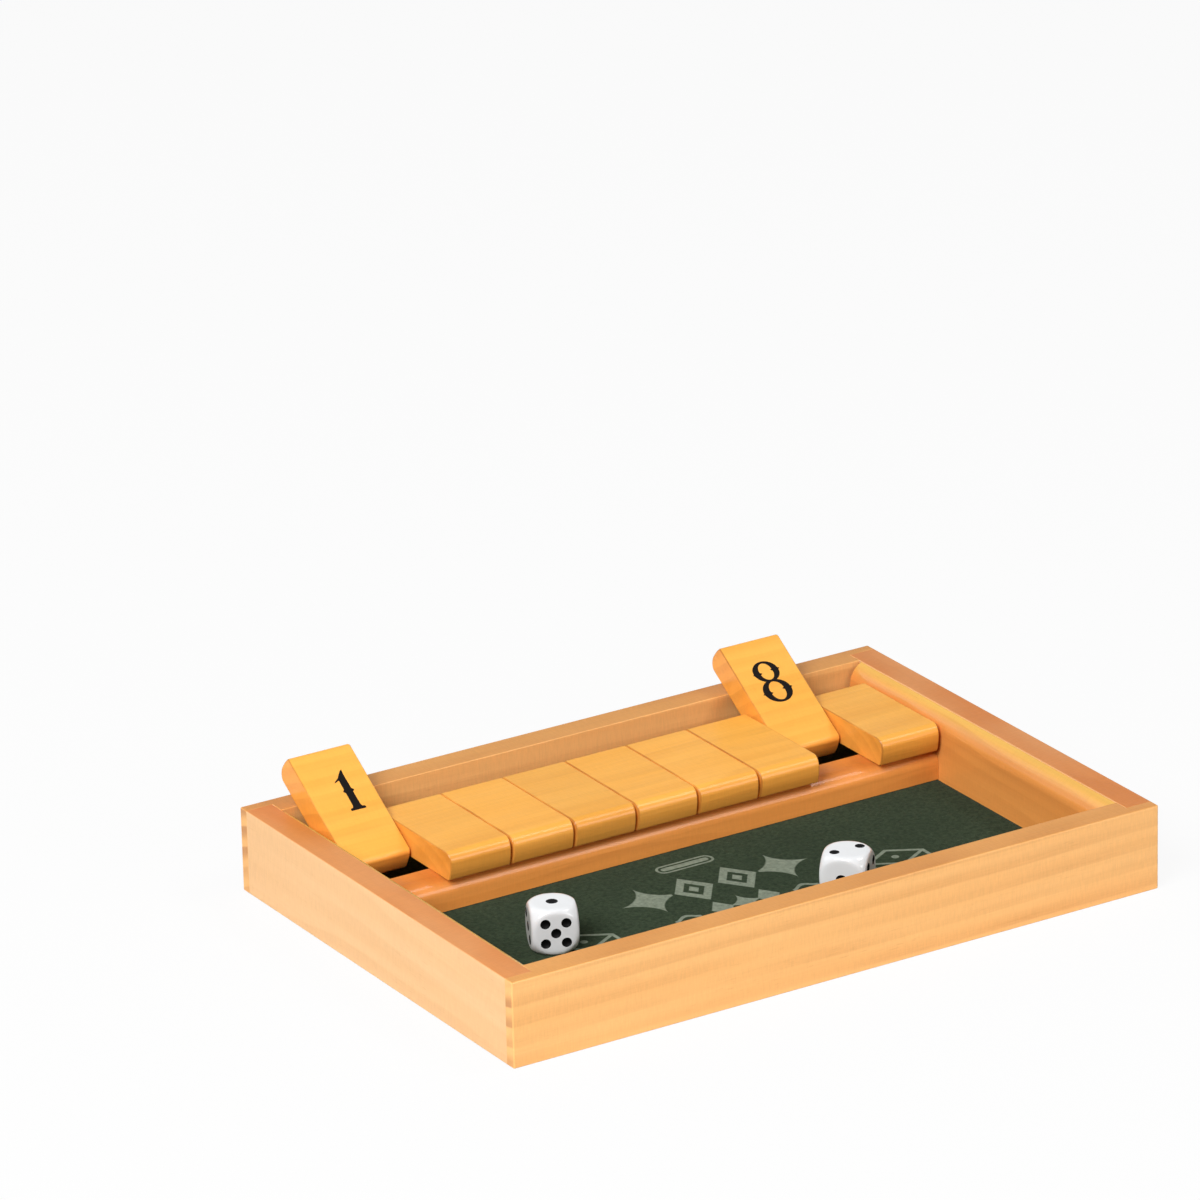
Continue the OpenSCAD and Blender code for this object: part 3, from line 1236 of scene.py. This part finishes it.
def spur(x: float, y: float, reach: float, half: float = 0.75) -> tuple[Point2, ...]:
    """Return a small pointed spur.

    Args:
        x: The middle of its foot.
        y: Its height.
        reach: How far it points, to the left where it is negative.
        half: Half the width of its foot.
    """
    back = -0.5 * math.copysign(1.0, reach)
    return ((x + back, y - half), (x + reach, y), (x + back, y + half))


NUMERALS: dict[int, Numeral] = {
    1: Numeral(blocks=(((-2.7, -8.55), (2.7, -8.55), (2.95, -8.05), (2.6, -7.6), (1.75, -7.4),
                        (1.45, -6.7), (1.4, -1.3), (2.2, -0.55), (1.4, 0.2), (1.35, 6.5),
                        (1.6, 8.2), (0.7, 7.6), (-1.3, 5.1), (-2.9, 4.0), (-3.3, 3.4),
                        (-1.35, 4.1), (-1.4, 0.2), (-2.1, -0.55), (-1.4, -1.3), (-1.45, -6.7),
                        (-1.75, -7.4), (-2.6, -7.6), (-2.95, -8.05)),)),
    2: Numeral(strokes=(((-3.9, 4.6, 0.5), (-3.0, 7.0, 0.7), (0.0, 8.1, 0.45), (3.2, 6.6, 1.1),
                         (4.0, 4.0, 1.35), (2.6, 1.0, 1.1), (-1.0, -2.8, 0.6), (-4.2, -6.4, 0.5)),
                        ((-4.6, -6.9, 0.55), (-2.4, -6.3, 0.75), (1.4, -7.2, 1.05),
                         (4.2, -6.9, 0.75), (5.1, -5.0, 0.3))),
               balls=((-3.4, 4.5, 1.25),), blocks=(spur(4.9, 3.8, 0.9), spur(2.4, 3.8, -0.9))),
    3: Numeral(strokes=(oval(0.0, 4.1, 4.6, 4.1, 2.3, 0.8, -80, 160, 12),
                        oval(0.0, -3.9, 5.2, 4.4, 2.6, 0.8, -165, 85, 12)),
               balls=((-3.5, 4.9, 1.2), (-3.9, -5.2, 1.35)),
               blocks=(spur(-0.2, 0.2, -1.9, 0.7), spur(4.9, -3.9, 1.0), spur(4.3, 4.0, 0.9))),
    4: Numeral(strokes=(((2.0, 8.2, 0.5), (-1.4, 3.0, 0.55), (-4.9, -2.6, 0.6)),
                        ((-5.2, -2.9, 0.65), (0.0, -2.9, 0.65), (5.2, -2.9, 0.65))),
               blocks=(((0.6, -7.4), (0.9, -6.6), (0.9, 6.4), (3.2, 8.2), (3.2, -6.6), (3.6, -7.4),
                        (4.6, -7.8), (4.6, -8.2), (-0.6, -8.2), (-0.6, -7.8)),
                       spur(0.9, 2.2, -1.0), spur(3.2, 2.2, 1.0))),
    5: Numeral(strokes=(((-3.4, 7.5, 0.5), (0.0, 6.9, 0.95), (3.9, 7.7, 0.45)),
                        ((-3.2, 7.6, 0.6), (-3.3, 4.0, 0.65), (-3.6, 0.9, 0.5)),
                        oval(-0.1, -3.1, 4.9, 5.1, 2.6, 0.8, -160, 138, 13)),
               balls=((-3.8, -4.9, 1.3),), blocks=(spur(4.6, -3.2, 1.0), spur(2.4, -3.2, -0.9))),
    6: Numeral(strokes=(oval(0.1, -3.4, 5.0, 4.8, 2.6, 0.8),
                        ((3.6, 6.0, 0.5), (1.6, 7.8, 0.6), (-1.8, 6.4, 1.0), (-3.6, 1.6, 1.3),
                         (-3.6, -3.4, 1.3))),
               balls=((3.4, 5.9, 1.2),), blocks=(spur(-4.6, -2.6, -1.0), spur(4.8, -3.4, 1.0))),
    7: Numeral(strokes=(((-4.6, 6.6, 0.5), (-1.6, 7.3, 1.0), (1.6, 6.7, 0.9), (4.5, 7.7, 0.45)),
                        ((4.4, 7.5, 0.4), (1.6, 2.6, 0.8), (0.0, -2.6, 1.25), (-0.4, -8.1, 1.35))),
               blocks=(((-4.9, 8.2), (-4.3, 8.2), (-4.1, 6.2), (-4.9, 4.2), (-5.2, 4.4)),
                       spur(1.0, -2.4, 1.3), spur(-0.9, -2.4, -1.1))),
    8: Numeral(strokes=(oval(-0.1, 3.65, 5.0, 4.4, 2.45, 0.85),
                        oval(0.05, -4.75, 5.5, 4.85, 2.7, 0.9)),
               blocks=(spur(-4.8, 3.2, -0.8), spur(4.7, 3.9, 0.8), spur(-2.9, 3.2, 1.1, 0.95),
                       spur(2.7, 3.9, -1.0, 0.95), spur(-5.3, -5.2, -0.8), spur(5.4, -4.4, 0.8),
                       spur(-3.1, -5.2, 1.2, 1.0), spur(3.1, -4.4, -1.0, 1.0))),
    9: Numeral(strokes=(oval(-0.1, 3.4, 5.0, 4.8, 2.6, 0.8),
                        ((-3.6, -6.0, 0.5), (-1.6, -7.8, 0.6), (1.8, -6.4, 1.0), (3.6, -1.6, 1.3),
                         (3.6, 3.4, 1.3))),
               balls=((-3.4, -5.9, 1.2),), blocks=(spur(4.6, 2.6, 1.0), spur(-4.8, 3.4, -1.0))),
}


class InkTree(PieceTree):
    """Joins the overlapping parts of a numeral into one thin layer of ink."""

    name = "one_layer_of_ink"
    inputs = {"Finish": "material"}

    def wire(self, w: Wiring, given: Given) -> Signal:
        """Add the tree's nodes and return what comes out."""
        joined = w.out("GeometryNodeMeshBoolean", {"Mesh 2": given["Geometry"],
                                                   "Self Intersection": True},
                       operation="UNION", solver="EXACT")
        return self.coated(w, joined, given["Finish"])


@dataclass
class TileRow:
    """The nine numbered tiles on the rod."""

    sizes: Sizes
    bores: BoreTree
    # The dark eased edges paint shade into the gaps between the tiles
    wood: WoodFinish = WoodFinish("tile_maple", "tile_wood", (250, 175, 78), (245, 166, 68),
                                  (204, 124, 44), ring=5.2, drift=14.0, rings=0.22, streaks=0.22,
                                  fibres=0.3, coat=0.5, coat_roughness=0.12, end_stain=0.12,
                                  end_rings=0.12, edge=(150, 80, 30), edge_wear_and_light=2.0,
                                  painted_top_light=(0.95, 1.06, 1.08))
    ink: PolishedFinish = PolishedFinish("number_ink", "tile_wood", (14, 9, 7), (22, 16, 12),
                                         roughness=0.5, coat=0.0, depth=0.00002, specular=0.08)
    open_tiles: tuple[int, ...] = (1, 8)
    nose_corner_r: float = 1.3
    tail_corner_r: float = 1.8
    side_r: float = 0.4
    nose_side_r: float = 0.6
    nose_sand: float = 3.0
    nose_narrow: float = 0.5
    outline_step: float = 5.0
    bore_play: float = 0.1
    ink_t: float = 0.03
    ink_sunk: float = 0.01
    number_u: float = 17.8
    number_x: dict[int, float] = field(default_factory=lambda: {1: 2.4, 8: -0.3})

    def build(self) -> None:
        """Build and dress every tile and its number."""
        wood, ink, joins = self.wood.material(), self.ink.material(), InkTree()
        chance = random.Random(41)
        for number in range(1, 10):
            self._tile(number, wood, chance)
            self._number(number, ink, joins)

    def _angle(self, number: int) -> float:
        """Return a tile's turn in the photographed state, in degrees."""
        return self.sizes.open_angle if number in self.open_tiles else 180.0

    def _place(self, number: int) -> Vector:
        """Return the middle of a tile's bore."""
        s = self.sizes
        return Vector(((number - 5) * s.tile_pitch, s.pivot_y, s.pivot_z)) * MM

    def _outline(self) -> list[Arc]:
        """Return a tile's side outline, from the rod towards the nose and the number side."""
        s = self.sizes
        half, nose, tail, sweep = s.tile_t / 2, s.tile_l - s.tile_tail, s.tile_tail, s.end_sweep_r
        up, f, g = s.end_r - half, self.nose_corner_r, self.tail_corner_r

        def corner(radius: float) -> Point2:
            """Return how far a corner's middle is beyond the long curve's, and its first angle."""
            rise = half - radius - up
            out = math.sqrt((sweep - radius) ** 2 - rise ** 2)
            return out, math.degrees(math.atan2(rise, out))

        (far, nose_turn), (back, tail_turn) = corner(f), corner(g)
        return [(nose - s.end_r, up, s.end_r, -90, 0),
                (nose - sweep, up, sweep, 0, nose_turn),
                (nose - sweep + far, half - f, f, nose_turn, 90),
                (sweep - tail - back, half - g, g, 90, 180 - tail_turn),
                (sweep - tail, up, sweep, 180 - tail_turn, 180),
                (s.end_r - tail, up, s.end_r, 180, 270)]

    def _wider(self, out: float) -> float:
        """Return how much wider a tile's rounds are, towards its sanded nose and tail."""
        s = self.sizes
        beyond = max(out - s.tile_l + s.tile_tail, -s.tile_tail - out)
        share = min(max(1.0 + beyond / self.nose_sand, 0.0), 1.0)
        return 1.0 + (self.nose_side_r / self.side_r - 1.0) * share

    def _tile(self, number: int, wood: Material, chance: random.Random) -> None:
        """Build one tile.

        Args:
            number: The tile's number.
            wood: Its material.
            chance: Picks the board that it is cut from.
        """
        s = self.sizes
        width = s.tile_pitch - s.tile_gap

        def to_local(along: float, out: float, up: float) -> Vector:
            """Return a tile's point about its bore."""
            return Vector((along - width / 2, out, up)) * MM

        piece = moulded_bar(f"tile_{number}_board", self._outline(), width, self.side_r, to_local,
                            self.outline_step, self._wider, self.nose_narrow)
        self.bores.run(piece, {"Bore radius": (s.rod_r + self.bore_play) * MM,
                               "Bore length": 2 * width * MM, "Place": self._place(number),
                               "Turn": (TURN(self._angle(number)), 0.0, 0.0), "Finish": wood})
        smoothed(piece)
        lean, away = TURN(chance.uniform(-125, -55)), chance.uniform(0.035, 0.075)
        heart = (chance.uniform(-0.5, 0.5), s.pivot_y * MM + away * math.cos(lean),
                 s.pivot_z * MM + away * math.sin(lean))
        mark(piece, heart, chance.uniform(-0.7, 0.5))
        dress(piece, self.wood, wood, f"tile_{number}", f"tile_{number}")

    def _number(self, number: int, ink: Material, joins: InkTree) -> None:
        """Print a tile's number on its face.

        Args:
            number: The number.
            ink: The ink's material.
            joins: The tree that joins its strokes.
        """
        face, aside = self.sizes.tile_t / 2, self.number_x.get(number, 0.0)
        turned = (Matrix.Translation(self._place(number))
                  @ Matrix.Rotation(TURN(self._angle(number)), 4, "X"))
        points, faces = [], []
        for outline in NUMERALS[number].outlines():
            *sides, low, high = ring_faces(2, len(outline), len(points))
            faces += [low, high, *sides]
            points += [turned @ (Vector((x + aside, y + self.number_u, level)) * MM)
                       for level in (face - self.ink_sunk, face + self.ink_t) for x, y in outline]
        piece = joins.run(object_from(f"tile_{number}_number", points, faces), {"Finish": ink})
        dress(smoothed(piece, 30.0), self.ink, ink, f"tile_{number}")


class PipTree(PieceTree):
    """Scoops round pips out of a die at marked points."""

    name = "scooped_pips"
    inputs = {"Plastic": "material", "Paint": "material"}

    def wire(self, w: Wiring, given: Given) -> Signal:
        """Add the tree's nodes and return what comes out."""
        radius = w.out("GeometryNodeInputNamedAttribute", {"Name": "pip_ball"}, data_type="FLOAT")
        is_pip = w.out("FunctionNodeCompare", {0: radius, 1: 0.0}, data_type="FLOAT",
                       operation="GREATER_THAN")
        parts = w.node("GeometryNodeSeparateGeometry", {"Geometry": given["Geometry"],
                                                        "Selection": is_pip}, domain="POINT")
        ball = w.out("GeometryNodeMeshIcoSphere", {"Radius": 1.0, "Subdivisions": 4})
        painted = w.out("GeometryNodeSetMaterial", {"Geometry": ball, "Material": given["Paint"]})
        balls = w.out("GeometryNodeInstanceOnPoints", {
            "Points": parts.outputs["Selection"], "Instance": painted, "Scale": radius})
        loose = w.out("GeometryNodeRealizeInstances", {"Geometry": balls})
        moulded = w.out("GeometryNodeSetMaterial", {"Geometry": parts.outputs["Inverted"],
                                                    "Material": given["Plastic"]})
        return w.out("GeometryNodeMeshBoolean", {"Mesh 1": moulded, "Mesh 2": loose,
                                                 "Self Intersection": True},
                     operation="DIFFERENCE", solver="EXACT")


PIPS: dict[int, tuple[Point2, ...]] = {
    1: ((0, 0),),
    2: ((-1, -1), (1, 1)),
    3: ((-1, 1), (0, 0), (1, -1)),
    4: ((-1, -1), (-1, 1), (1, -1), (1, 1)),
    5: ((-1, -1), (-1, 1), (0, 0), (1, -1), (1, 1)),
    6: ((-1, -1), (-1, 0), (-1, 1), (1, -1), (1, 0), (1, 1)),
}


@dataclass
class DicePair:
    """The two rounded dice that lie on the felt."""

    sizes: Sizes
    plastic: PolishedFinish = PolishedFinish("white_plastic", "die_plastic", (222, 224, 226),
                                             (204, 205, 206), roughness=0.08, coat=0.5)
    paint: PolishedFinish = PolishedFinish("pip_paint", "die_plastic", (6, 6, 7), (14, 14, 14),
                                           size=0.002, roughness=0.5, coat=0.0, depth=0.00002,
                                           specular=0.1)
    steps: int = 30
    softness: float = 30.0
    squareness: float = 26.0
    evenness: float = 0.98
    sharp_angle: float = 25.0

    def build(self) -> None:
        """Build and dress both dice."""
        tree, plastic = PipTree(), self.plastic.material()
        finishes = {"Plastic": plastic, "Paint": self.paint.material()}
        for name, place, turn, top, sides in (("die_1", (-71.2, -23.0), -22.7, 1, (5, 4, 2, 3)),
                                              ("die_2", (31.1, -42.2), -47.6, 2, (1, 4, 6, 3))):
            piece = tree.run(self._marked_die(name, place, turn, top, sides), finishes)
            piece.data.shade_smooth()
            piece.data.set_sharp_from_angle(angle=TURN(self.sharp_angle))
            dress(piece, self.plastic, plastic, name, name)

    def _radius(self, way: Vector) -> float:
        """Return the die's radius in a direction of length 1, in millimetres."""
        q, p = self.squareness, self.softness
        square = self.sizes.die_s / 2 / sum(abs(c) ** q for c in way) ** (1 / q)
        return (square ** -p + self.sizes.die_ball_r ** -p) ** (-1 / p)

    def _marked_die(self, name: str, place: Point2, turn: float, top: int,
                    sides: tuple[int, ...]) -> Object:
        """Return a plain die in its place, with a marked point at the middle of each pip's ball.

        Args:
            name: Its CAD node and body.
            place: Its middle on the felt, in millimetres.
            turn: Its turn about the vertical, in degrees.
            top: The pips on top.
            sides: The pips on its front, right, back and left.
        """
        s = self.sizes
        work = bmesh.new()
        bmesh.ops.create_cube(work, size=2.0)
        bmesh.ops.subdivide_edges(work, edges=work.edges, cuts=self.steps - 1, use_grid_fill=True)
        for v in work.verts:
            way = Vector([math.tan(c * math.pi / 4 * self.evenness) for c in v.co]).normalized()
            v.co = way * self._radius(way) * MM
        pip = work.verts.layers.float.new("pip_ball")
        turns = [(top, Matrix.Identity(3)), (7 - top, Matrix.Rotation(math.pi, 3, "X"))]
        for face in Face:
            turns.append((sides[face.value], Matrix.Rotation(TURN(90 * face.value), 3, "Z")
                          @ Matrix.Rotation(TURN(90), 3, "X")))
        for count, turned in turns:
            rim = s.one_pip_r if count == 1 else s.pip_r
            ball = (rim ** 2 + s.pip_depth ** 2) / (2 * s.pip_depth)
            for x, y in PIPS[count]:
                at = turned @ Vector((s.pip_offset * x, s.pip_offset * y,
                                      s.die_s / 2 - s.pip_depth + ball))
                work.verts.new(at * MM)[pip] = ball * MM
        work.transform(Matrix.Translation(Vector((*place, s.felt_top + s.die_s / 2)) * MM)
                       @ Matrix.Rotation(TURN(turn), 4, "Z"))
        mesh = bpy.data.meshes.new(f"{name}_moulded")
        work.to_mesh(mesh)
        work.free()
        return new_object(f"{name}_moulded", mesh)


class LintTree(PieceTree):
    """Scatters short loose fibres over a surface."""

    bend, tilt, smallest, largest = TURN(62), 0.25, 0.45, 1.25
    name = "loose_fibres"
    inputs = {"Per square metre": "value", "Length": "value", "Thickness": "value",
              "Seed": "value", "Finish": "material"}

    def wire(self, w: Wiring, given: Given) -> Signal:
        """Add the tree's nodes and return what comes out."""
        seed = given["Seed"]
        spots = w.out("GeometryNodeDistributePointsOnFaces", {
            "Mesh": given["Geometry"], "Density": given["Per square metre"], "Seed": seed})
        thread = w.out("GeometryNodeCurveArc", {"Resolution": 5, "Radius": given["Length"],
                                                "Sweep Angle": self.bend}, mode="RADIUS")
        ring = w.out("GeometryNodeCurvePrimitiveCircle", {"Resolution": 3,
                                                          "Radius": given["Thickness"]},
                     mode="RADIUS")
        tube = w.out("GeometryNodeCurveToMesh", {"Curve": thread, "Profile Curve": ring,
                                                 "Fill Caps": True})
        turn = w.out("FunctionNodeRandomValue", {
            0: (-self.tilt, -self.tilt, 0.0), 1: (self.tilt, self.tilt, 6.283), "Seed": seed},
            data_type="FLOAT_VECTOR")
        size = w.out("FunctionNodeRandomValue", {2: self.smallest, 3: self.largest, "Seed": seed},
                     1, data_type="FLOAT")
        strewn = w.out("GeometryNodeInstanceOnPoints", {
            "Points": spots, "Instance": tube, "Rotation": turn, "Scale": size})
        return self.coated(w, strewn, given["Finish"])


@dataclass
class FeltFloor:
    """The sheet of felt on the floor board, and its loose fibres."""

    sizes: Sizes
    finish: FeltFinish = FeltFinish()
    lint: PolishedFinish = PolishedFinish("felt_lint", "felt", (86, 98, 76), (52, 62, 46),
                                          roughness=0.9, coat=0.0, specular=0.0)
    cells: tuple[int, int] = (176, 122)
    sag: float = 0.06
    rim_drop: float = 0.3
    sharp_angle: float = 50.0
    strewn_gap: float = 1.5
    strewn_depth: float = 0.03
    lint_per_square_metre: float = 160000.0
    lint_length: float = 0.7
    lint_r: float = 0.03
    lint_seed: int = 7

    def build(self) -> None:
        """Build and dress the felt and its lint."""
        piece = self._sheet()
        piece.data.shade_smooth()
        piece.data.set_sharp_from_angle(angle=TURN(self.sharp_angle))
        dress(piece, self.finish, self.finish.material(), "tray", "felt")
        self._strew()

    def _height(self, x: float, y: float) -> float:
        """Return the felt's height at a place, with its slight unevenness and its lower rim."""
        s = self.sizes
        rim = min(s.wall_x - abs(x), s.inner_y - abs(y))
        soft = self.sag * (0.5 + 0.5 * math.sin(x * 0.31 + math.sin(y * 0.23) * 1.7)
                           * math.sin(y * 0.27 + math.sin(x * 0.19) * 1.3))
        return s.felt_top - (soft * min(1.0, rim / 4) + (self.rim_drop if rim < 0.01 else 0.0))

    def _sheet(self) -> Object:
        """Return the sheet, a fine grid above and one face below."""
        s, (nx, ny) = self.sizes, self.cells
        row = nx + 1
        places = [(s.wall_x * (2 * i / nx - 1), s.inner_y * (2 * j / ny - 1))
                  for j in range(ny + 1) for i in range(row)]
        points = [(x * MM, y * MM, self._height(x, y) * MM) for x, y in places]
        faces = [(a, a + 1, a + row + 1, a + row)
                 for a in (j * row + i for j in range(ny) for i in range(nx))]
        rim = [*range(nx), *range(nx, ny * row + nx, row), *range(ny * row + nx, ny * row, -1),
               *range(ny * row, 0, -row)]
        start, count = len(points), len(rim)
        points += [(points[v][0], points[v][1], s.board_top * MM) for v in rim]
        for i in range(count):
            j = (i + 1) % count
            faces.append((rim[i], start + i, start + j, rim[j]))
        faces.append(tuple(start + i for i in reversed(range(count))))
        return object_from("felt_sheet", points, faces)

    def _strew(self) -> None:
        """Strew lint over the open part of the felt."""
        s, gap, material = self.sizes, self.strewn_gap, self.lint.material()
        x, low, high = s.wall_x - gap, gap - s.inner_y, s.rest_front_y - gap
        z = s.felt_top - self.strewn_depth
        corners = [(-x, low, z), (x, low, z), (x, high, z), (-x, high, z)]
        piece = object_from("felt_lint", [Vector(c) * MM for c in corners], [(0, 1, 2, 3)])
        LintTree().run(piece, {"Per square metre": self.lint_per_square_metre,
                               "Length": self.lint_length * MM, "Thickness": self.lint_r * MM,
                               "Seed": self.lint_seed, "Finish": material})
        dress(piece, self.lint, material, "tray")


@dataclass
class Studio:
    """The floor, the lights and the camera."""

    camera_at: Triple = (-1.34345, -2.13706, 1.10188)
    across: Triple = (0.84818209, -0.52923579, -0.02228489)
    up: Triple = (0.21224445, 0.3010069, 0.92970272)
    back: Triple = (-0.48532404, -0.79328704, 0.36763602)
    lens: float = 248.73
    shadow: float = 0.08
    ambient: float = 0.1
    aim: Triple = (0, 0, 0.02)
    floor_half: float = 4.0

    def build(self) -> None:
        """Build the floor, the lights, the world and the camera."""
        self._floor()
        self._light("key", (-1.41, -0.79, 1.51), 1.2, 57.0)
        self._light("fill", (0.95, -2.15, 0.85), 0.9, 10.0)
        self._light("side", (1.02, -0.65, 1.72), 0.6, 9.0)
        self._light("back", (-1.2, 1.6, 1.2), 1.0, 4.0)
        self._world()
        camera = new_object("camera", bpy.data.cameras.new("camera"))
        axes = Matrix((self.across, self.up, self.back)).transposed().to_4x4()
        camera.matrix_world = Matrix.Translation(self.camera_at) @ axes
        camera.data.lens = self.lens
        camera.data.sensor_width = 36.0
        camera.data.clip_end = 50.0
        bpy.context.scene.camera = camera
        bpy.context.scene.view_settings.view_transform = "Standard"

    @staticmethod
    def _show_white(w: Wiring, share: float, dim: Node, white: Signal, end: str) -> None:
        """Show white to the rays that reach the camera, and something dimmer to the others.

        Args:
            w: The wiring of the world's or the floor's nodes.
            share: How much of the white those rays see.
            dim: The node of what all other rays see.
            white: The white.
            end: The name of the output node.
        """
        rays = {s.name: Signal(w, s) for s in w.node("ShaderNodeLightPath").outputs}
        seen = (rays["Is Camera Ray"] | rays["Is Glossy Ray"] | rays["Is Transmission Ray"]) * share
        both = w.out("ShaderNodeMixShader", {0: seen, 1: dim.outputs[0], 2: white})
        w.feed(w.tree.nodes[end].inputs["Surface"], both)

    def _floor(self) -> None:
        """Build the pale floor."""
        half = self.floor_half
        floor = object_from("floor", [(-half, -half, 0), (half, -half, 0), (half, half, 0),
                                      (-half, half, 0)], [(0, 1, 2, 3)])
        made = Coat("pale_floor", Roughness=0.9, Specular_IOR_Level=0.0)
        w = made.w
        cloud = w.noise(w.split(made.place()), (0.7, 0.7, 0.7))
        w.feed(made.inputs["Base Color"], w.mix(cloud, (0.7, 0.7, 0.7, 1), (0.74, 0.74, 0.74, 1)))
        glow = w.out("ShaderNodeEmission", {"Color": WHITE, "Strength": 1.0})
        self._show_white(w, 1.0 - self.shadow, w.tree.nodes["Principled BSDF"], glow,
                         "Material Output")
        floor.data.materials.append(made.material)

    def _light(self, name: str, place: Triple, size: float, power: float) -> None:
        """Add a soft square light that faces the tray.

        Args:
            name: Its name.
            place: Where it hangs.
            size: The length of its side.
            power: Its power in watts.
        """
        data = bpy.data.lights.new(name, "AREA")
        data.shape, data.size, data.energy = "SQUARE", size, power
        turn = (Vector(self.aim) - Vector(place)).to_track_quat("-Z", "Y").to_matrix().to_4x4()
        new_object(name, data).matrix_world = Matrix.Translation(place) @ turn

    def _world(self) -> None:
        """Light the scene softly from all sides, and show white behind it."""
        world = bpy.data.worlds.new("studio")
        bpy.context.scene.world = world
        world.use_nodes = True
        w = Wiring(world.node_tree)
        ambient = w.tree.nodes["Background"]
        w.feed(ambient.inputs["Color"], WHITE)
        w.feed(ambient.inputs["Strength"], self.ambient)
        white = w.out("ShaderNodeBackground", {"Color": WHITE, "Strength": 1.0})
        self._show_white(w, 1.0, ambient, white, "World Output")


def main() -> None:
    """Build the game around the CAD frame."""
    logging.basicConfig(level=logging.INFO, format="%(name)s: %(message)s")
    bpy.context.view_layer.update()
    sizes, bores = Sizes(), BoreTree()
    Studio().build()
    Tray(sizes, bores).build()
    HingeRod(sizes).build()
    TileRow(sizes, bores).build()
    DicePair(sizes).build()
    FeltFloor(sizes).build()


if __name__ == "__main__":
    main()
